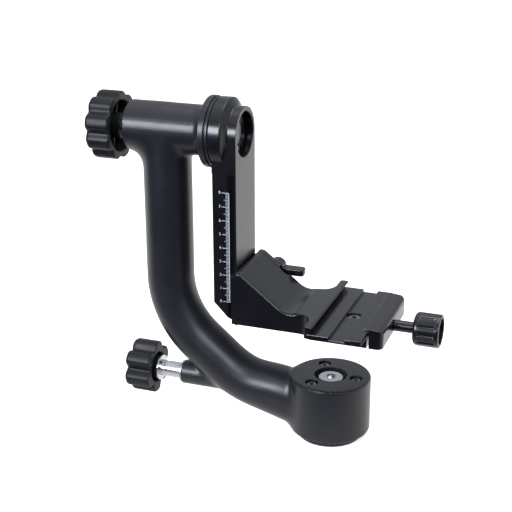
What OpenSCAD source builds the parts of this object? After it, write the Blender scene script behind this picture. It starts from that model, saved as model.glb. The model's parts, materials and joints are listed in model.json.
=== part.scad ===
// Gimbal tripod head: a J-shaped yoke that pans on the tripod, a swing arm that
// tilts on the yoke, and a height-adjustable dovetail clamp on the swing arm.
// Millimetres. The origin is the centre of the tripod face, on the pan axis.
// +Z is up, +X runs along the tilt axis from the yoke to the arm, +Y is the lens.

/* [Overall] */
// Height of the tilt axis above the tripod face
tilt_z = 217; // [200:1:250]
// Distance from the pan axis to the axis of the upright tube
reach = 123; // [118:1:145]
// Distance from the pan axis to the inner face of the swing arm
arm_face = 64.3; // [60:0.1:68]

/* [J arm] */
// Diameter of the J tube
tube_d = 34.4; // [30:0.2:40]
// Height of the J tube's axis where it meets the pan axis
root_z = 14.6; // [12:0.2:20]
// Centreline radius of the upper bend
bend1_r = 66; // [55:1:75]
// Angle turned by the upper bend
bend1_a = 50; // [45:1:55]
// Straight length between the bends
bend_gap = 23; // [15:1:30]
// Centreline radius of the lower bend
bend2_r = 67; // [55:1:80]
// Angle turned by the lower bend
bend2_a = 25; // [20:1:30]
// Diameter of the tilt housing
housing_d = 35.2; // [32:0.2:42]
// How far the tilt housing stands out beyond the tube's axis
housing_out = 26.5; // [24:0.5:32]
// Diameter of the pan housing
base_d = 57.4; // [56:0.2:70]
// Height of the top of the pan housing
base_top = 46; // [46:1:56]

/* [Pan bearing] */
// Diameter of the face that stands on the tripod
foot_d = 46.4; // [44:0.2:54]
// Thickness of that foot
foot_t = 4.5; // [3:0.5:6]
// Spindle diameter
spindle_d = 20; // [16:1:22]
// Bearing outer diameter
pan_bearing_d = 32; // [30:1:34]
// Width of every pan bearing
pan_bearing_w = 7; // [5:1:8]
// Outer diameter of the bearing cartridge
cartridge_d = 45; // [43:1:48]
// Radius of the circle of cap screws
screw_circle = 18.6; // [18:0.1:20]
// Wall radius of the 3/8 inch tripod thread
tripod_thread_r = 4; // [3.9:0.1:4.5]
// Depth of the tripod thread
tripod_thread_deep = 12; // [8:1:16]

/* [Tilt bearing] */
// Axle diameter
axle_d = 17; // [14:1:18]
// Bearing outer diameter
tilt_bearing_d = 26; // [24:1:28]
// Bearing width
tilt_bearing_w = 5; // [4:1:7]
// Diameter of the fixed bearing cap
cap_d = 50; // [44:1:54]
// Length of the fixed bearing cap
cap_t = 7; // [6:0.5:9]
// Diameter of the swing arm's round head
head_d = 49.2; // [46:0.2:54]
// Length of that head
head_t = 8.4; // [6:0.2:10]
// Diameter of the pocket in the swing arm's face
pocket_d = 31.4; // [28:0.2:34]
// Depth of that pocket
pocket_deep = 9; // [7:0.5:11]

/* [Swing arm] */
// Width of the swing arm, which is also its dovetail rail
rail_w = 38; // [36:0.5:40]
// Thickness of the swing arm
arm_t = 17.6; // [16:0.2:21]
// Distance from the tilt axis to the lower end of the swing arm
arm_drop = 134.5; // [125:0.5:145]
// Chamfer on the lower outer corner
toe = 16; // [8:1:16]
// Straight edge of the dovetail rail
rail_edge = 1.2; // [0.8:0.1:2]
// Depth of the V grooves that make the rail
rail_v = 2.8; // [2:0.1:3.5]

/* [Platform] */
// Width of the angled bracket
bracket_w = 49; // [46:0.5:54]
// Distance from the tilt axis down to the clamp floor
floor_drop = 121; // [112:0.5:127]
// Thickness of the bracket's base below the clamp floor
base_t = 10.5; // [9.5:0.5:12]
// Depth of the clamp screw's axis below the clamp floor
clamp_axis_drop = 4.8; // [4.5:0.1:5.5]
// Chamfer along the edges of the bracket's front face
bracket_edge = 2; // [1:0.1:2.5]
// Height of the top of the angled bracket above the clamp floor
bracket_h = 29.4; // [27:0.2:34]
// Slope of the angled bracket
slope_a = 38; // [34:1:42]
// Radius of the hollow between slope and clamp
cradle_r = 14; // [8:1:18]
// Length of the clamp
clamp_l = 91; // [80:1:110]
// Thickness of the clamp's free ends
clamp_t = 3.4; // [3:0.2:6]
// Left side of the clamp, measured from the pan axis
clamp_left = 7; // [4:0.5:10]
// Radius in the corner between bracket and clamp
corner_r = 10; // [6:1:11]
// Height of the fixed lip above the clamp floor
lip_h = 5; // [4:0.2:6]
// Travel of the platform up the swing arm
rail_travel = 65; // [40:1:66]

/* [Clamp] */
// Width of the camera plate that the clamp takes
plate_w = 38; // [36:0.5:40]
// Room left beside the plate with the jaw as drawn
plate_play = 1.5; // [0.5:0.1:2.5]
// Depth of the dovetail undercut
undercut = 3.5; // [3:0.1:4]
// Width of the channel in the clamp floor
channel_w = 10.6; // [9:0.2:12]
// Depth of that channel
channel_deep = 2; // [1:0.1:3]
// Length of the movable jaw
jaw_l = 68; // [50:1:80]
// Thickness of the movable jaw below its lip
jaw_t = 9.5; // [9:0.1:14]
// Gap between jaw and base with the jaw as drawn
jaw_gap = 1.9; // [1.8:0.1:3]
// Clamp screw diameter
clamp_screw_d = 6; // [5:0.5:6]
// Diameter of the guide pins
guide_d = 5; // [4:0.5:5]
// Distance between the guide pins
guide_span = 40; // [24:1:40]

/* [Knobs] */
// Diameter of the tilt knob
tilt_knob_d = 48.6; // [40:0.2:56]
// Length of the tilt knob
tilt_knob_l = 18.2; // [14:0.2:26]
// Lobes on the tilt knob
tilt_lobes = 9; // [6:1:12]
// Diameter of the pan knob
pan_knob_d = 39.4; // [34:0.2:46]
// Length of the pan knob
pan_knob_l = 20; // [14:1:24]
// Lobes on the pan knob
pan_lobes = 6; // [5:1:9]
// How far the tilt lock's axis sits below the tilt axis
lock_drop = 1.6; // [0:0.1:2]
// Height of the pan lock's axis
pan_lock_z = 29.8; // [26:0.2:31]
// Diameter of the boss for the pan lock
boss_d = 17.8; // [14:0.2:19]
// How far the end of that boss stays inside the upright's centreline
boss_inset = 9; // [4:0.5:13]
// Diameter of the visible steel stem
stem_d = 12; // [10:0.2:13]
// Visible length of the steel stem
stem_l = 19.8; // [14:0.2:28]
// Diameter of the lock screws
lock_screw_d = 8; // [6:1:8]
// Diameter of the clamp knob
clamp_knob_d = 23.4; // [18:0.2:26]
// Length of the clamp knob
clamp_knob_l = 18.2; // [14:0.2:26]
// Length of the shaft between jaw and clamp knob
clamp_neck = 14.3; // [6:0.1:18]

/* [Fits] */
// Radial running clearance of a shaft across a joint
run = 0.05; // [0.02:0.01:0.1]
// Gap between flat faces that slide on each other
slide_gap = 0.1; // [0.05:0.05:0.2]
// Gap between curved faces of different bodies
air = 0.35; // [0.3:0.05:0.5]

/* [Hidden] */
$fn = 64;

// Colours
black_coat = [0.13, 0.14, 0.16];
black_anodised = [0.09, 0.09, 0.1];
black_plastic = [0.16, 0.16, 0.17];
steel = [0.78, 0.79, 0.8];
dark_steel = [0.35, 0.35, 0.37];
brass = [0.78, 0.63, 0.3];

// J arm centreline: down the upright, round two bends and into the pan axis
bend_end_a = bend1_a + bend2_a;
bends_dx = bend1_r * (1 - cos(bend1_a)) + bend_gap * sin(bend1_a)
  + bend2_r * (cos(bend1_a) - cos(bend_end_a));
root_l = (reach - bends_dx) / sin(bend_end_a);
bend_top_z = root_z + root_l * cos(bend_end_a) + bend1_r * sin(bend1_a)
  + bend_gap * cos(bend1_a) + bend2_r * (sin(bend_end_a) - sin(bend1_a));

// Pan stack, from the tripod face up
hub_z = 8;
lower_bearing_z = hub_z;
cartridge_z = 6;
cartridge_top = base_top - 7;
upper_bearing_w = 4.5;
upper_bearing_z = cartridge_top - upper_bearing_w;
housing_gap = 0.5;
race_t = 1.2;
washer_t = 1.5;
washer_d = spindle_d + 2;
// play round the washer in the recess of the base
washer_play = 0.8;
recess_d = washer_d + 2 * washer_play;
bolt_head_d = 18;
bolt_head_t = 4;
bolt_d = 8;
counterbore_d = 9.4;
counterbore_deep = 5.5;
cap_screw_d = 4;
bush_d = 14;

// Tilt stack, from the swing arm's inner face towards the knob
arm_in = -arm_face;
arm_out = arm_in - arm_t;
head_out = arm_out - 0.5;
head_in = head_out + head_t;
cap_gap = 0.8;
cap_in = head_out - cap_gap;
cap_out = cap_in - cap_t;
housing_end = -reach - housing_out;
bearing_a_x = cap_out - tilt_bearing_w + 1;
bearing_b_x = -reach + 4;
axle_end = -reach - 3;
pad_t = 2;
lock_bush_l = 12;
lock_bush_d = lock_screw_d + 4;
boss_out = reach - boss_inset;
knob_stand = 8;
tilt_lock_z = tilt_z - lock_drop;
tilt_knob_in = housing_end - knob_stand;
tilt_knob_turn = 14;
pan_knob_turn = 50;
tilt_groove = 2.8;
pan_groove = 4.6;
groove_power = 2.6;

// Platform heights and places
floor_z = tilt_z - floor_drop;
base_z = floor_z - base_t;
bracket_top = floor_z + bracket_h;
bracket_x = arm_in + slide_gap;
lip_x = undercut - clamp_left + 2.5;
root_x = lip_x - undercut;
jaw_root = root_x + plate_w + plate_play;
jaw_lip = jaw_root - undercut;
base_right = jaw_root - jaw_gap;
channel_x = (lip_x + base_right) / 2 - channel_w / 2;
jaw_out = jaw_root + jaw_t;
clamp_axis_z = floor_z - clamp_axis_drop;
jaw_z = base_z + 1;
jaw_top = floor_z + lip_h - 0.3;
crest_x = bracket_x + 3.5;
slope_rise = bracket_h - 3.8;
slope_foot_x = crest_x + slope_rise / tan(slope_a);
slope_z = bracket_top - slope_rise;

// Height lock
stop_d = 1.6;
stop_z = base_z - 1.4;
split_x = bracket_x + 17;
split_y = rail_w / 2 + 1.2;
split_gap = 0.2;
hook_y = rail_w / 2 + slide_gap;
lever_x = bracket_x + 12;
lever_z = floor_z + 14.5;
jaw_side = split_y + 6.6;
jaw_pin_d = 3;
// metal left outside the guide pins' holes, and how far the front jaw closes from rest
pin_wall = 1.2;
jaw_close = 1.5;
lever_screw_d = 6;
lever_hub_d = 12.6;
lever_t = 10;
lever_l = 21.5;

// A cylinder along +X from a start point
module rod_x(x, l, d) {
  translate([x, 0, 0]) rotate([0, 90, 0]) cylinder(h = l, d = d);
}

// A cylinder along +Y from a start point
module rod_y(y, l, d) {
  translate([0, y, 0]) rotate([-90, 0, 0]) cylinder(h = l, d = d);
}

// What a rounded outer corner at [x, y] takes away, for the corner towards +x, +y
module corner_waste(x, y, r) {
  difference() {
    translate([x - r, y - r]) square([r + 1, r + 1]);
    translate([x - r, y - r]) circle(r = r);
  }
}

// A ring along +X
module ring_x(x, l, outer, inner) {
  difference() {
    rod_x(x, l, outer);
    rod_x(x - 1, l + 2, inner);
  }
}

// A ring along +Z
module ring_z(z, l, outer, inner) {
  translate([0, 0, z]) difference() {
    cylinder(h = l, d = outer);
    translate([0, 0, -1]) cylinder(h = l + 2, d = inner);
  }
}

// One set of balls joined by their cage, about Z
module ball_cage(w, inner, outer) {
  pitch = (inner + outer) / 4;
  ball_r = (outer - inner) / 4 - race_t - air;
  translate([0, 0, w / 2]) {
    difference() {
      cylinder(h = w * 0.4, r = pitch + ball_r * 0.45, center = true);
      cylinder(h = w, r = pitch - ball_r * 0.45, center = true);
    }
    for (i = [0:7]) rotate(i * 45) translate([pitch, 0, 0]) sphere(r = ball_r, $fn = 24);
  }
}

// Wavy outline of a star knob
function lobe_r(a, d, n, depth) = d / 2 - depth * pow((1 - cos(n * a)) / 2, groove_power);
module star_outline(d, n, depth) {
  steps = n * 10;
  polygon([for (i = [0:steps - 1]) lobe_r(i * 360 / steps, d, n, depth)
    * [cos(i * 360 / steps), sin(i * 360 / steps)]]);
}

// Star knob along +X: closed outside at x = 0, hollow inside round a hub
module star_knob(d, l, n, depth, bore, hub_d, hub_l, turn) {
  wall = 3;
  round = d * 0.1;
  hollow = l * 0.55;
  difference() {
    intersection() {
      rotate([0, 90, 0]) rotate(turn) linear_extrude(l) star_outline(d, n, depth);
      rotate([0, 90, 0]) rotate_extrude() difference() {
        square([d / 2, l]);
        translate([d / 2 - round, 0]) difference() {
          translate([0, -1]) square([round + 1, round + 1]);
          translate([0, round]) circle(r = round);
        }
      }
    }
    rod_x(l - hollow, hollow + 1, d - 2 * (depth + wall));
  }
  ring_x(l - hollow - 0.5, hollow + hub_l + 0.5, hub_d, bore);
}

// ---- Tripod side ----

module foot_spindle() {
  color(black_anodised) difference() {
    union() {
      cylinder(h = foot_t, d = foot_d);
      cylinder(h = hub_z, d = spindle_d + 4);
      cylinder(h = cartridge_top, d = spindle_d);
    }
    translate([0, 0, -1]) cylinder(h = tripod_thread_deep + 1, d = bush_d);
    translate([0, 0, cartridge_top - 18]) cylinder(h = 19, d = bolt_d);
  }
}

module tripod_bush() {
  color(steel) ring_z(0, tripod_thread_deep, bush_d, 2 * tripod_thread_r);
}

module pan_races(outer, inner) {
  ring_z(lower_bearing_z, pan_bearing_w, outer, inner);
  ring_z(upper_bearing_z, upper_bearing_w, outer, inner);
}

module pan_inner_races() {
  color(steel) pan_races(spindle_d + 2 * race_t, spindle_d);
}

module pan_washer() {
  color(steel) ring_z(cartridge_top, washer_t, washer_d, bolt_d);
}

module pan_bolt() {
  socket_d = 6.9;
  color(steel) difference() {
    union() {
      translate([0, 0, cartridge_top + washer_t]) cylinder(h = bolt_head_t, d = bolt_head_d);
      translate([0, 0, cartridge_top - 16]) cylinder(h = 16 + washer_t, d = bolt_d);
    }
    translate([0, 0, cartridge_top + washer_t + 1]) cylinder(h = bolt_head_t, d = socket_d, $fn = 6);
  }
}

// ---- Yoke ----

// Centreline of the J tube from the tilt axis down, as [x, z, angle from the vertical]
function arc(cx, cz, r, from, to, n) = [for (i = [0:n]) let(a = from + (to - from) * i / n)
  [cx - r * cos(a), cz - r * sin(a), a]];
root_x0 = -root_l * sin(bend_end_a);
root_z0 = root_z + root_l * cos(bend_end_a);
path = concat([[-reach, tilt_z, 0]],
  arc(bend1_r - reach, bend_top_z, bend1_r, 0, bend1_a, 12),
  arc(root_x0 + bend2_r * cos(bend_end_a), root_z0 + bend2_r * sin(bend_end_a),
    bend2_r, bend1_a, bend_end_a, 7),
  [[0, root_z, bend_end_a]]);
tube_sides = 48;
root_swell = 1.6;

// The tube as rings along that line, a little thicker towards the root
module tube_path() {
  n = len(path);
  m = tube_sides;
  points = [for (k = [0:n - 1]) let(p = path[k], r = (tube_d + root_swell * pow(k / (n - 1), 3)) / 2)
    for (i = [0:m - 1]) let(u = 360 / m * (i + 0.5))
      [p[0] + r * cos(u) * cos(p[2]), r * sin(u), p[1] + r * cos(u) * sin(p[2])]];
  sides = [for (k = [0:n - 2]) for (i = [0:m - 1]) let(a = k * m + i, b = k * m + (i + 1) % m)
    each [[a, b, a + m], [b, b + m, a + m]]];
  polyhedron(points, concat([[for (i = [m - 1:-1:0]) i]], sides, [[for (i = [0:m - 1]) (n - 1) * m + i]]));
}

// Fillets of the casting, as slim hulls hidden inside the tubes except in the corners
module crotch_fillet() {
  slim = tube_d - 7;
  hull() {
    translate([0, 0, tilt_z]) rod_x(-reach - housing_out + 5, 2 * housing_out - 8, slim, $fn = 32);
    translate([-reach, 0, tilt_z - 34]) cylinder(h = 30, d = slim, $fn = 32);
  }
}

module root_flare() {
  flare_z = base_top - foot_t - housing_gap;
  hull() {
    translate([-base_d / 2 - 14, 0, root_z + (base_d / 2 + 14) / tan(bend_end_a)]) rotate([0, -bend_end_a, 0])
      cylinder(h = 1, d = tube_d - 1, $fn = 32);
    translate([-base_d / 2 + 9, 0, foot_t + housing_gap + 2]) cylinder(h = flare_z - 7, d = tube_d, $fn = 32);
  }
}

module j_arm() {
  base_bottom = foot_t + housing_gap;
  color(black_coat) difference() {
    union() {
      translate([0, 0, base_bottom]) cylinder(h = base_top - base_bottom, d = base_d);
      tube_path();
      crotch_fillet();
      root_flare();
      translate([0, 0, tilt_z]) rod_x(housing_end, cap_out - housing_end, housing_d);
      translate([0, 0, pan_lock_z]) rod_x(-boss_out, boss_out - base_d / 2, boss_d);
    }
    translate([0, 0, base_bottom - base_d]) cylinder(h = base_d, d = 2 * base_d);
    translate([0, 0, base_bottom - 1]) cylinder(h = cartridge_top - base_bottom + 1, d = cartridge_d);
    cylinder(h = base_top + 1, d = recess_d);
    for (i = [0:2]) rotate(120 * i) translate([screw_circle, 0, 0]) {
      cylinder(h = base_top + 1, d = cap_screw_d);
      translate([0, 0, base_top - counterbore_deep]) cylinder(h = counterbore_deep + 1, d = counterbore_d);
    }
    translate([0, 0, pan_lock_z]) {
      rod_x(-boss_out - 1, boss_out, lock_screw_d + 2 * run);
      rod_x(-boss_out - 1, lock_bush_l + 1, lock_bush_d);
    }
    translate([0, 0, tilt_lock_z]) rod_x(housing_end - 1, axle_end - housing_end + 1, lock_screw_d + 5);
    translate([0, 0, tilt_z]) {
      rod_x(axle_end - 6, cap_out - axle_end + 7, axle_d + 4);
      rod_x(bearing_b_x, cap_out - bearing_b_x + 1, tilt_bearing_d);
    }
  }
}

module bearing_cartridge() {
  color(dark_steel) difference() {
    translate([0, 0, cartridge_z]) cylinder(h = cartridge_top - cartridge_z, d = cartridge_d);
    translate([0, 0, cartridge_z - 1]) cylinder(h = cartridge_top, d = pan_bearing_d - 4);
    translate([0, 0, cartridge_z - 1])
      cylinder(h = lower_bearing_z + pan_bearing_w - cartridge_z + 1, d = pan_bearing_d);
    translate([0, 0, upper_bearing_z]) cylinder(h = upper_bearing_w + 1, d = pan_bearing_d);
    translate([0, 0, pan_lock_z]) rod_x(-cartridge_d, cartridge_d, lock_screw_d + 2 * run);
    for (i = [0:2]) rotate(120 * i) translate([screw_circle, 0, cartridge_top - 10])
      cylinder(h = 11, d = cap_screw_d);
  }
}

module pan_outer_races() {
  color(steel) pan_races(pan_bearing_d, pan_bearing_d - 2 * race_t);
}

module pan_ball_cages() {
  color(brass) {
    translate([0, 0, lower_bearing_z]) ball_cage(pan_bearing_w, spindle_d, pan_bearing_d);
    translate([0, 0, upper_bearing_z]) ball_cage(upper_bearing_w, spindle_d, pan_bearing_d);
  }
}

module cap_screws() {
  head_d = 7;
  head_t = 4;
  color(steel) for (i = [0:2]) rotate(120 * i) translate([screw_circle, 0, 0]) difference() {
    union() {
      translate([0, 0, cartridge_top - 9]) cylinder(h = 10, d = cap_screw_d);
      translate([0, 0, base_top - counterbore_deep]) cylinder(h = head_t, d = head_d);
      translate([0, 0, cartridge_top])
        cylinder(h = base_top - counterbore_deep - cartridge_top + 1, d = cap_screw_d);
    }
    translate([0, 0, base_top - counterbore_deep + 2]) cylinder(h = head_t, d = 3.5, $fn = 6);
  }
}

module tilt_bearing_cap() {
  groove = 1;
  ring_t = 1.5;
  color(black_anodised) translate([0, 0, tilt_z]) difference() {
    union() {
      rod_x(cap_out, cap_t, cap_d - 3);
      rod_x(cap_out, cap_t - groove - ring_t, cap_d);
      rod_x(cap_in - ring_t, ring_t, cap_d - 1.4);
    }
    rod_x(cap_out - 1, cap_t + 2, axle_d + 4);
  }
}

module tilt_races(outer, inner) {
  translate([0, 0, tilt_z]) {
    ring_x(bearing_a_x - 1, tilt_bearing_w, outer, inner);
    ring_x(bearing_b_x, tilt_bearing_w, outer, inner);
  }
}

module tilt_outer_races() {
  color(steel) tilt_races(tilt_bearing_d, tilt_bearing_d - 2 * race_t);
}

module tilt_ball_cages() {
  color(brass) for (x = [bearing_a_x - 1, bearing_b_x]) translate([x, 0, tilt_z]) rotate([0, 90, 0])
    ball_cage(tilt_bearing_w, axle_d, tilt_bearing_d);
}

module friction_ring() {
  color("whitesmoke") translate([0, 0, tilt_z]) ring_x(cap_in, cap_gap - slide_gap, head_d - 5, axle_d + 8);
}

module tilt_lock_bush() {
  flange_t = 1.5;
  color(brass) translate([0, 0, tilt_lock_z]) difference() {
    union() {
      rod_x(housing_end, lock_bush_l, lock_screw_d + 5);
      rod_x(housing_end - flange_t, flange_t, lock_screw_d + 10);
    }
    rod_x(housing_end - 3, lock_bush_l + 5, lock_screw_d + 2 * run);
  }
}

module pan_lock_bush() {
  flange_t = 1.5;
  color(steel) translate([0, 0, pan_lock_z]) difference() {
    union() {
      rod_x(-boss_out, lock_bush_l, lock_bush_d);
      rod_x(-boss_out - flange_t, flange_t, boss_d - 1.2);
    }
    rod_x(-boss_out - 3, lock_bush_l + 5, lock_screw_d + 2 * run);
  }
}

// ---- Pan lock ----

shoe_l = 10;
shoe_back = -spindle_d / 2 - air - shoe_l;
pan_shoulder = -boss_out - 2;
pan_knob_in = pan_shoulder - stem_l;

module pan_brake_shoe() {
  color(brass) difference() {
    translate([0, 0, pan_lock_z]) rod_x(shoe_back, shoe_l + 3, lock_screw_d);
    cylinder(h = base_top, d = spindle_d + 2 * air);
  }
}

module pan_lock_screw() {
  color(steel) translate([0, 0, pan_lock_z]) {
    rod_x(pan_shoulder, shoe_back - slide_gap - pan_shoulder, lock_screw_d);
    rod_x(pan_knob_in - 8, stem_l + 8, stem_d);
  }
}

module pan_stem_washer() {
  collar_d = 19;
  color(steel) translate([0, 0, pan_lock_z]) ring_x(pan_knob_in + 2, washer_t, collar_d, stem_d);
}

module pan_knob() {
  color(black_plastic) translate([pan_knob_in - pan_knob_l, 0, pan_lock_z])
    star_knob(pan_knob_d, pan_knob_l, pan_lobes, pan_groove, stem_d, stem_d + 5, 2, pan_knob_turn);
}

// ---- Tilt lock ----

module tilt_brake_pad() {
  color(brass) translate([0, 0, tilt_z]) rod_x(axle_end - air - pad_t, pad_t, axle_d);
}

module tilt_lock_screw() {
  screw_end = axle_end - air - pad_t - slide_gap;
  color(steel) translate([0, 0, tilt_lock_z])
    rod_x(tilt_knob_in - 9, screw_end - tilt_knob_in + 9, lock_screw_d);
}

module tilt_stem_washer() {
  color(steel) translate([0, 0, tilt_lock_z]) ring_x(tilt_knob_in + 4, 1.5, lock_screw_d + 8, lock_screw_d);
}

module tilt_knob() {
  hub_d = lock_screw_d + 10;
  color(black_plastic) translate([tilt_knob_in - tilt_knob_l, 0, tilt_lock_z])
    star_knob(tilt_knob_d, tilt_knob_l, tilt_lobes, tilt_groove, lock_screw_d, hub_d, 4, tilt_knob_turn);
}

// ---- Swing arm ----

// Section of the rail in plan: a bar with a V groove down each edge
module rail_section() {
  edge = arm_in - rail_edge;
  half = rail_w / 2;
  difference() {
    translate([arm_out, -half]) square([arm_t, rail_w]);
    for (s = [-1, 1]) scale([1, s]) polygon([[edge, half + 1], [edge, half], [edge - rail_v, half - rail_v],
      [edge - 2 * rail_v, half], [edge - 2 * rail_v, half + 1]]);
  }
}

module swing_arm() {
  shoulder = 3;
  color(black_anodised) difference() {
    union() {
      translate([0, 0, tilt_z - arm_drop]) linear_extrude(arm_drop - head_d / 2 + 1) rail_section();
      translate([arm_out, -rail_w / 2, tilt_z - head_d / 2]) cube([arm_t, rail_w, head_d / 2]);
      translate([0, 0, tilt_z]) {
        rod_x(arm_out, arm_t, rail_w);
        rod_x(head_out, head_t, head_d);
        translate([head_in, 0, 0]) rotate([0, 90, 0])
          cylinder(h = shoulder, r1 = head_d / 2, r2 = rail_w / 2);
      }
    }
    translate([arm_out - 1, -rail_w, tilt_z - arm_drop - 1]) rotate([-90, 0, 0])
      linear_extrude(2 * rail_w) polygon([[0, 1], [0, -toe - 1], [toe + 2, 1]]);
    translate([0, 0, tilt_z]) {
      rod_x(arm_in - pocket_deep, pocket_deep + 1, pocket_d);
      rod_x(head_out - 1, arm_t + 2, axle_d);
      rotate([25, 0, 0]) translate([arm_in - 5, -pocket_d / 2, 0]) rotate([0, 90, 0]) cylinder(h = 6, d = 3);
    }
    for (y = [-10, 10]) translate([0, y, stop_z]) rod_x(arm_in - 6, 7, stop_d);
  }
}

module tilt_axle() {
  color(dark_steel) translate([0, 0, tilt_z]) {
    rod_x(axle_end, arm_in - pocket_deep + 3 - axle_end, axle_d);
    rod_x(head_out - 1.5, 1.5, axle_d + 3);
  }
}

module tilt_inner_races() {
  color(steel) tilt_races(axle_d + 2 * race_t, axle_d);
}

module axle_nut() {
  nut_d = 25;
  color(black_anodised) translate([0, 0, tilt_z]) difference() {
    rod_x(arm_in - pocket_deep, 4, nut_d);
    rod_x(arm_in - pocket_deep - 1, 6, axle_d);
    for (i = [0:3]) rotate([90 * i + 20, 0, 0]) translate([arm_in - pocket_deep + 2, nut_d / 2 - 3, -1.5])
      cube([3, 4, 3]);
  }
}

module arm_set_screw() {
  color(steel) translate([0, 0, tilt_z]) rotate([25, 0, 0]) difference() {
    translate([arm_in - 5, -pocket_d / 2, 0]) rotate([0, 90, 0]) cylinder(h = 4.6, d = 2.9);
    translate([arm_in - 2, -pocket_d / 2, 0]) rotate([0, 90, 0]) cylinder(h = 3, d = 1.5, $fn = 6);
  }
}

module arm_stop_screws() {
  color(steel) for (y = [-10, 10]) translate([0, y, stop_z]) {
    rod_x(arm_in - 6, 6, stop_d);
    rod_x(arm_in, 1.4, stop_d + 1);
  }
}

// ---- Platform ----

// Side outline of bracket and clamp, in X and Z
module platform_outline() {
  lip_top = floor_z + lip_h;
  cradle_x = slope_foot_x + cradle_r * tan(slope_a / 2);
  crown = 3;
  difference() {
    polygon([[bracket_x, base_z], [base_right, base_z], [base_right, floor_z],
      [root_x, floor_z], [root_x, floor_z + 0.5], [lip_x, floor_z + 0.5 + undercut], [lip_x, lip_top],
      [-clamp_left + 1, lip_top], [cradle_x, slope_z], [slope_foot_x, slope_z],
      [crest_x + crown, bracket_top - crown * tan(slope_a)],
      [crest_x + crown * 0.45, bracket_top - crown * 0.55],
      [crest_x - crown * 0.1, bracket_top - crown * 0.28], [bracket_x + 1, bracket_top - crown * 0.3],
      [bracket_x, bracket_top - crown * 0.6]]);
    translate([cradle_x, slope_z + cradle_r]) circle(r = cradle_r);
    translate([channel_x, floor_z - channel_deep]) square([channel_w, channel_deep + 1]);
  }
}

// Plan outline: narrow bracket, long clamp and a round corner between them
module platform_plan() {
  half = bracket_w / 2;
  corner_x = -clamp_left - corner_r;
  round = 2;
  difference() {
    union() {
      translate([bracket_x, -half]) square([base_right - bracket_x, bracket_w]);
      translate([-clamp_left, -clamp_l / 2]) square([base_right + clamp_left, clamp_l]);
      for (s = [-1, 1]) scale([1, s]) difference() {
        translate([corner_x, half - 1]) square([corner_r + 1, corner_r + 1]);
        translate([corner_x, half + corner_r]) circle(r = corner_r);
      }
    }
    for (s = [-1, 1]) scale([1, s]) {
      corner_waste(base_right, clamp_l / 2, round);
      translate([-2 * clamp_left, 0]) mirror([1, 0]) corner_waste(-clamp_left, clamp_l / 2, round);
    }
  }
}

// Hook that holds the rail, in plan on the -Y side; outer is its outer side, inner where it meets its body
module hook_section(outer, inner) {
  tip_x = arm_in - rail_edge - rail_v;
  tip_y = rail_w / 2 - rail_v;
  slack = 1.5 * slide_gap;
  polygon([[bracket_x + 0.5, -outer], [tip_x + 2, -outer], [tip_x - 0.2, -tip_y - 1.5],
    [tip_x + 0.4, -tip_y - 0.4 - 2 * slack], [arm_in - rail_edge - slack, -hook_y],
    [bracket_x - slide_gap, -hook_y], [bracket_x - slide_gap, -inner], [bracket_x + 0.5, -inner]]);
}

// A bar that takes the edge off the front face along a line from [x, z] at the given slope
module edge_cut(x, z, slope, l, c) {
  translate([x, -bracket_w / 2, z]) rotate([0, slope, 0]) rotate([45, 0, 0])
    translate([-1, -c * sqrt(0.5), -c * sqrt(0.5)]) cube([l + 1, c * sqrt(2), c * sqrt(2)]);
}

module platform() {
  half = bracket_w / 2;
  end_l = clamp_l / 2 - half - corner_r + 3;
  hook_h = bracket_h + base_t - 4;
  screw_hole_d = lever_screw_d + 2 * run;
  centre_x = channel_x + channel_w / 2;
  color(black_anodised) difference() {
    union() {
      intersection() {
        translate([0, clamp_l / 2, 0]) rotate([90, 0, 0]) linear_extrude(clamp_l) platform_outline();
        translate([0, 0, base_z - 1]) linear_extrude(bracket_h + base_t + 2) platform_plan();
      }
      translate([0, 0, base_z]) linear_extrude(hook_h) hook_section(half - 1, hook_y);
    }
    // chamfers along slope and underside of the front face
    edge_cut(crest_x, bracket_top, slope_a, slope_rise / sin(slope_a) - 3, bracket_edge);
    edge_cut(bracket_x, base_z, 0, -clamp_left - corner_r - bracket_x, bracket_edge * 0.7);
    // thin free ends of the clamp
    for (y = [-clamp_l / 2 - 1, clamp_l / 2 - end_l]) translate([-clamp_left - corner_r - 1, y, base_z - 1])
      cube([base_right + clamp_left + corner_r + 2, end_l + 1, base_t - clamp_t + 1]);
    // room for the rear jaw, its screw and its pins
    translate([bracket_x - 1, split_y, base_z - 1])
      cube([split_x - bracket_x + 1, clamp_l, base_t + bracket_h + 2]);
    translate([lever_x, 0, lever_z]) rod_y(0, clamp_l, screw_hole_d);
    for (z = [base_z + 5, floor_z + 5]) translate([lever_x, 0, z]) rod_y(split_y - 8, 12, jaw_pin_d);
    // clamp screw, guide pins, springs and centre screw
    translate([0, 0, clamp_axis_z]) rod_x(base_right - 11, 12, clamp_screw_d + 2 * run);
    for (s = [-1, 1]) translate([0, s * guide_span / 2, clamp_axis_z]) {
      rod_x(base_right - 16, 17, guide_d);
      rod_x(base_right - 4, 5, guide_d + 2.4);
    }
    translate([centre_x, 0, floor_z - 7]) cylinder(h = 8, d = 10.6);
    translate([centre_x, 0, base_z - 1]) cylinder(h = base_t, d = 5);
    // arched notch in the front and back ends of the floor
    for (s = [-1, 1]) translate([centre_x + 4, s * (clamp_l / 2 + 14), base_z - 1])
      cylinder(h = base_t + 2 - 1.6, r = 16);
    // finger notch behind the slope
    translate([split_x + 4.5, half, lever_z - 8]) cylinder(h = 20, d = 9);
  }
}

module clamp_guide_pins() {
  color(steel) for (s = [-1, 1]) translate([0, s * guide_span / 2, clamp_axis_z])
    rod_x(base_right - 15, 15 + jaw_gap + jaw_t - pin_wall - jaw_close - 0.15, guide_d);
}

module clamp_springs() {
  color(steel) for (s = [-1, 1]) translate([0, s * guide_span / 2, clamp_axis_z])
    ring_x(base_right - 3.8, 3.8 + jaw_gap - 1.85, guide_d + 2, guide_d);
}

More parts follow.
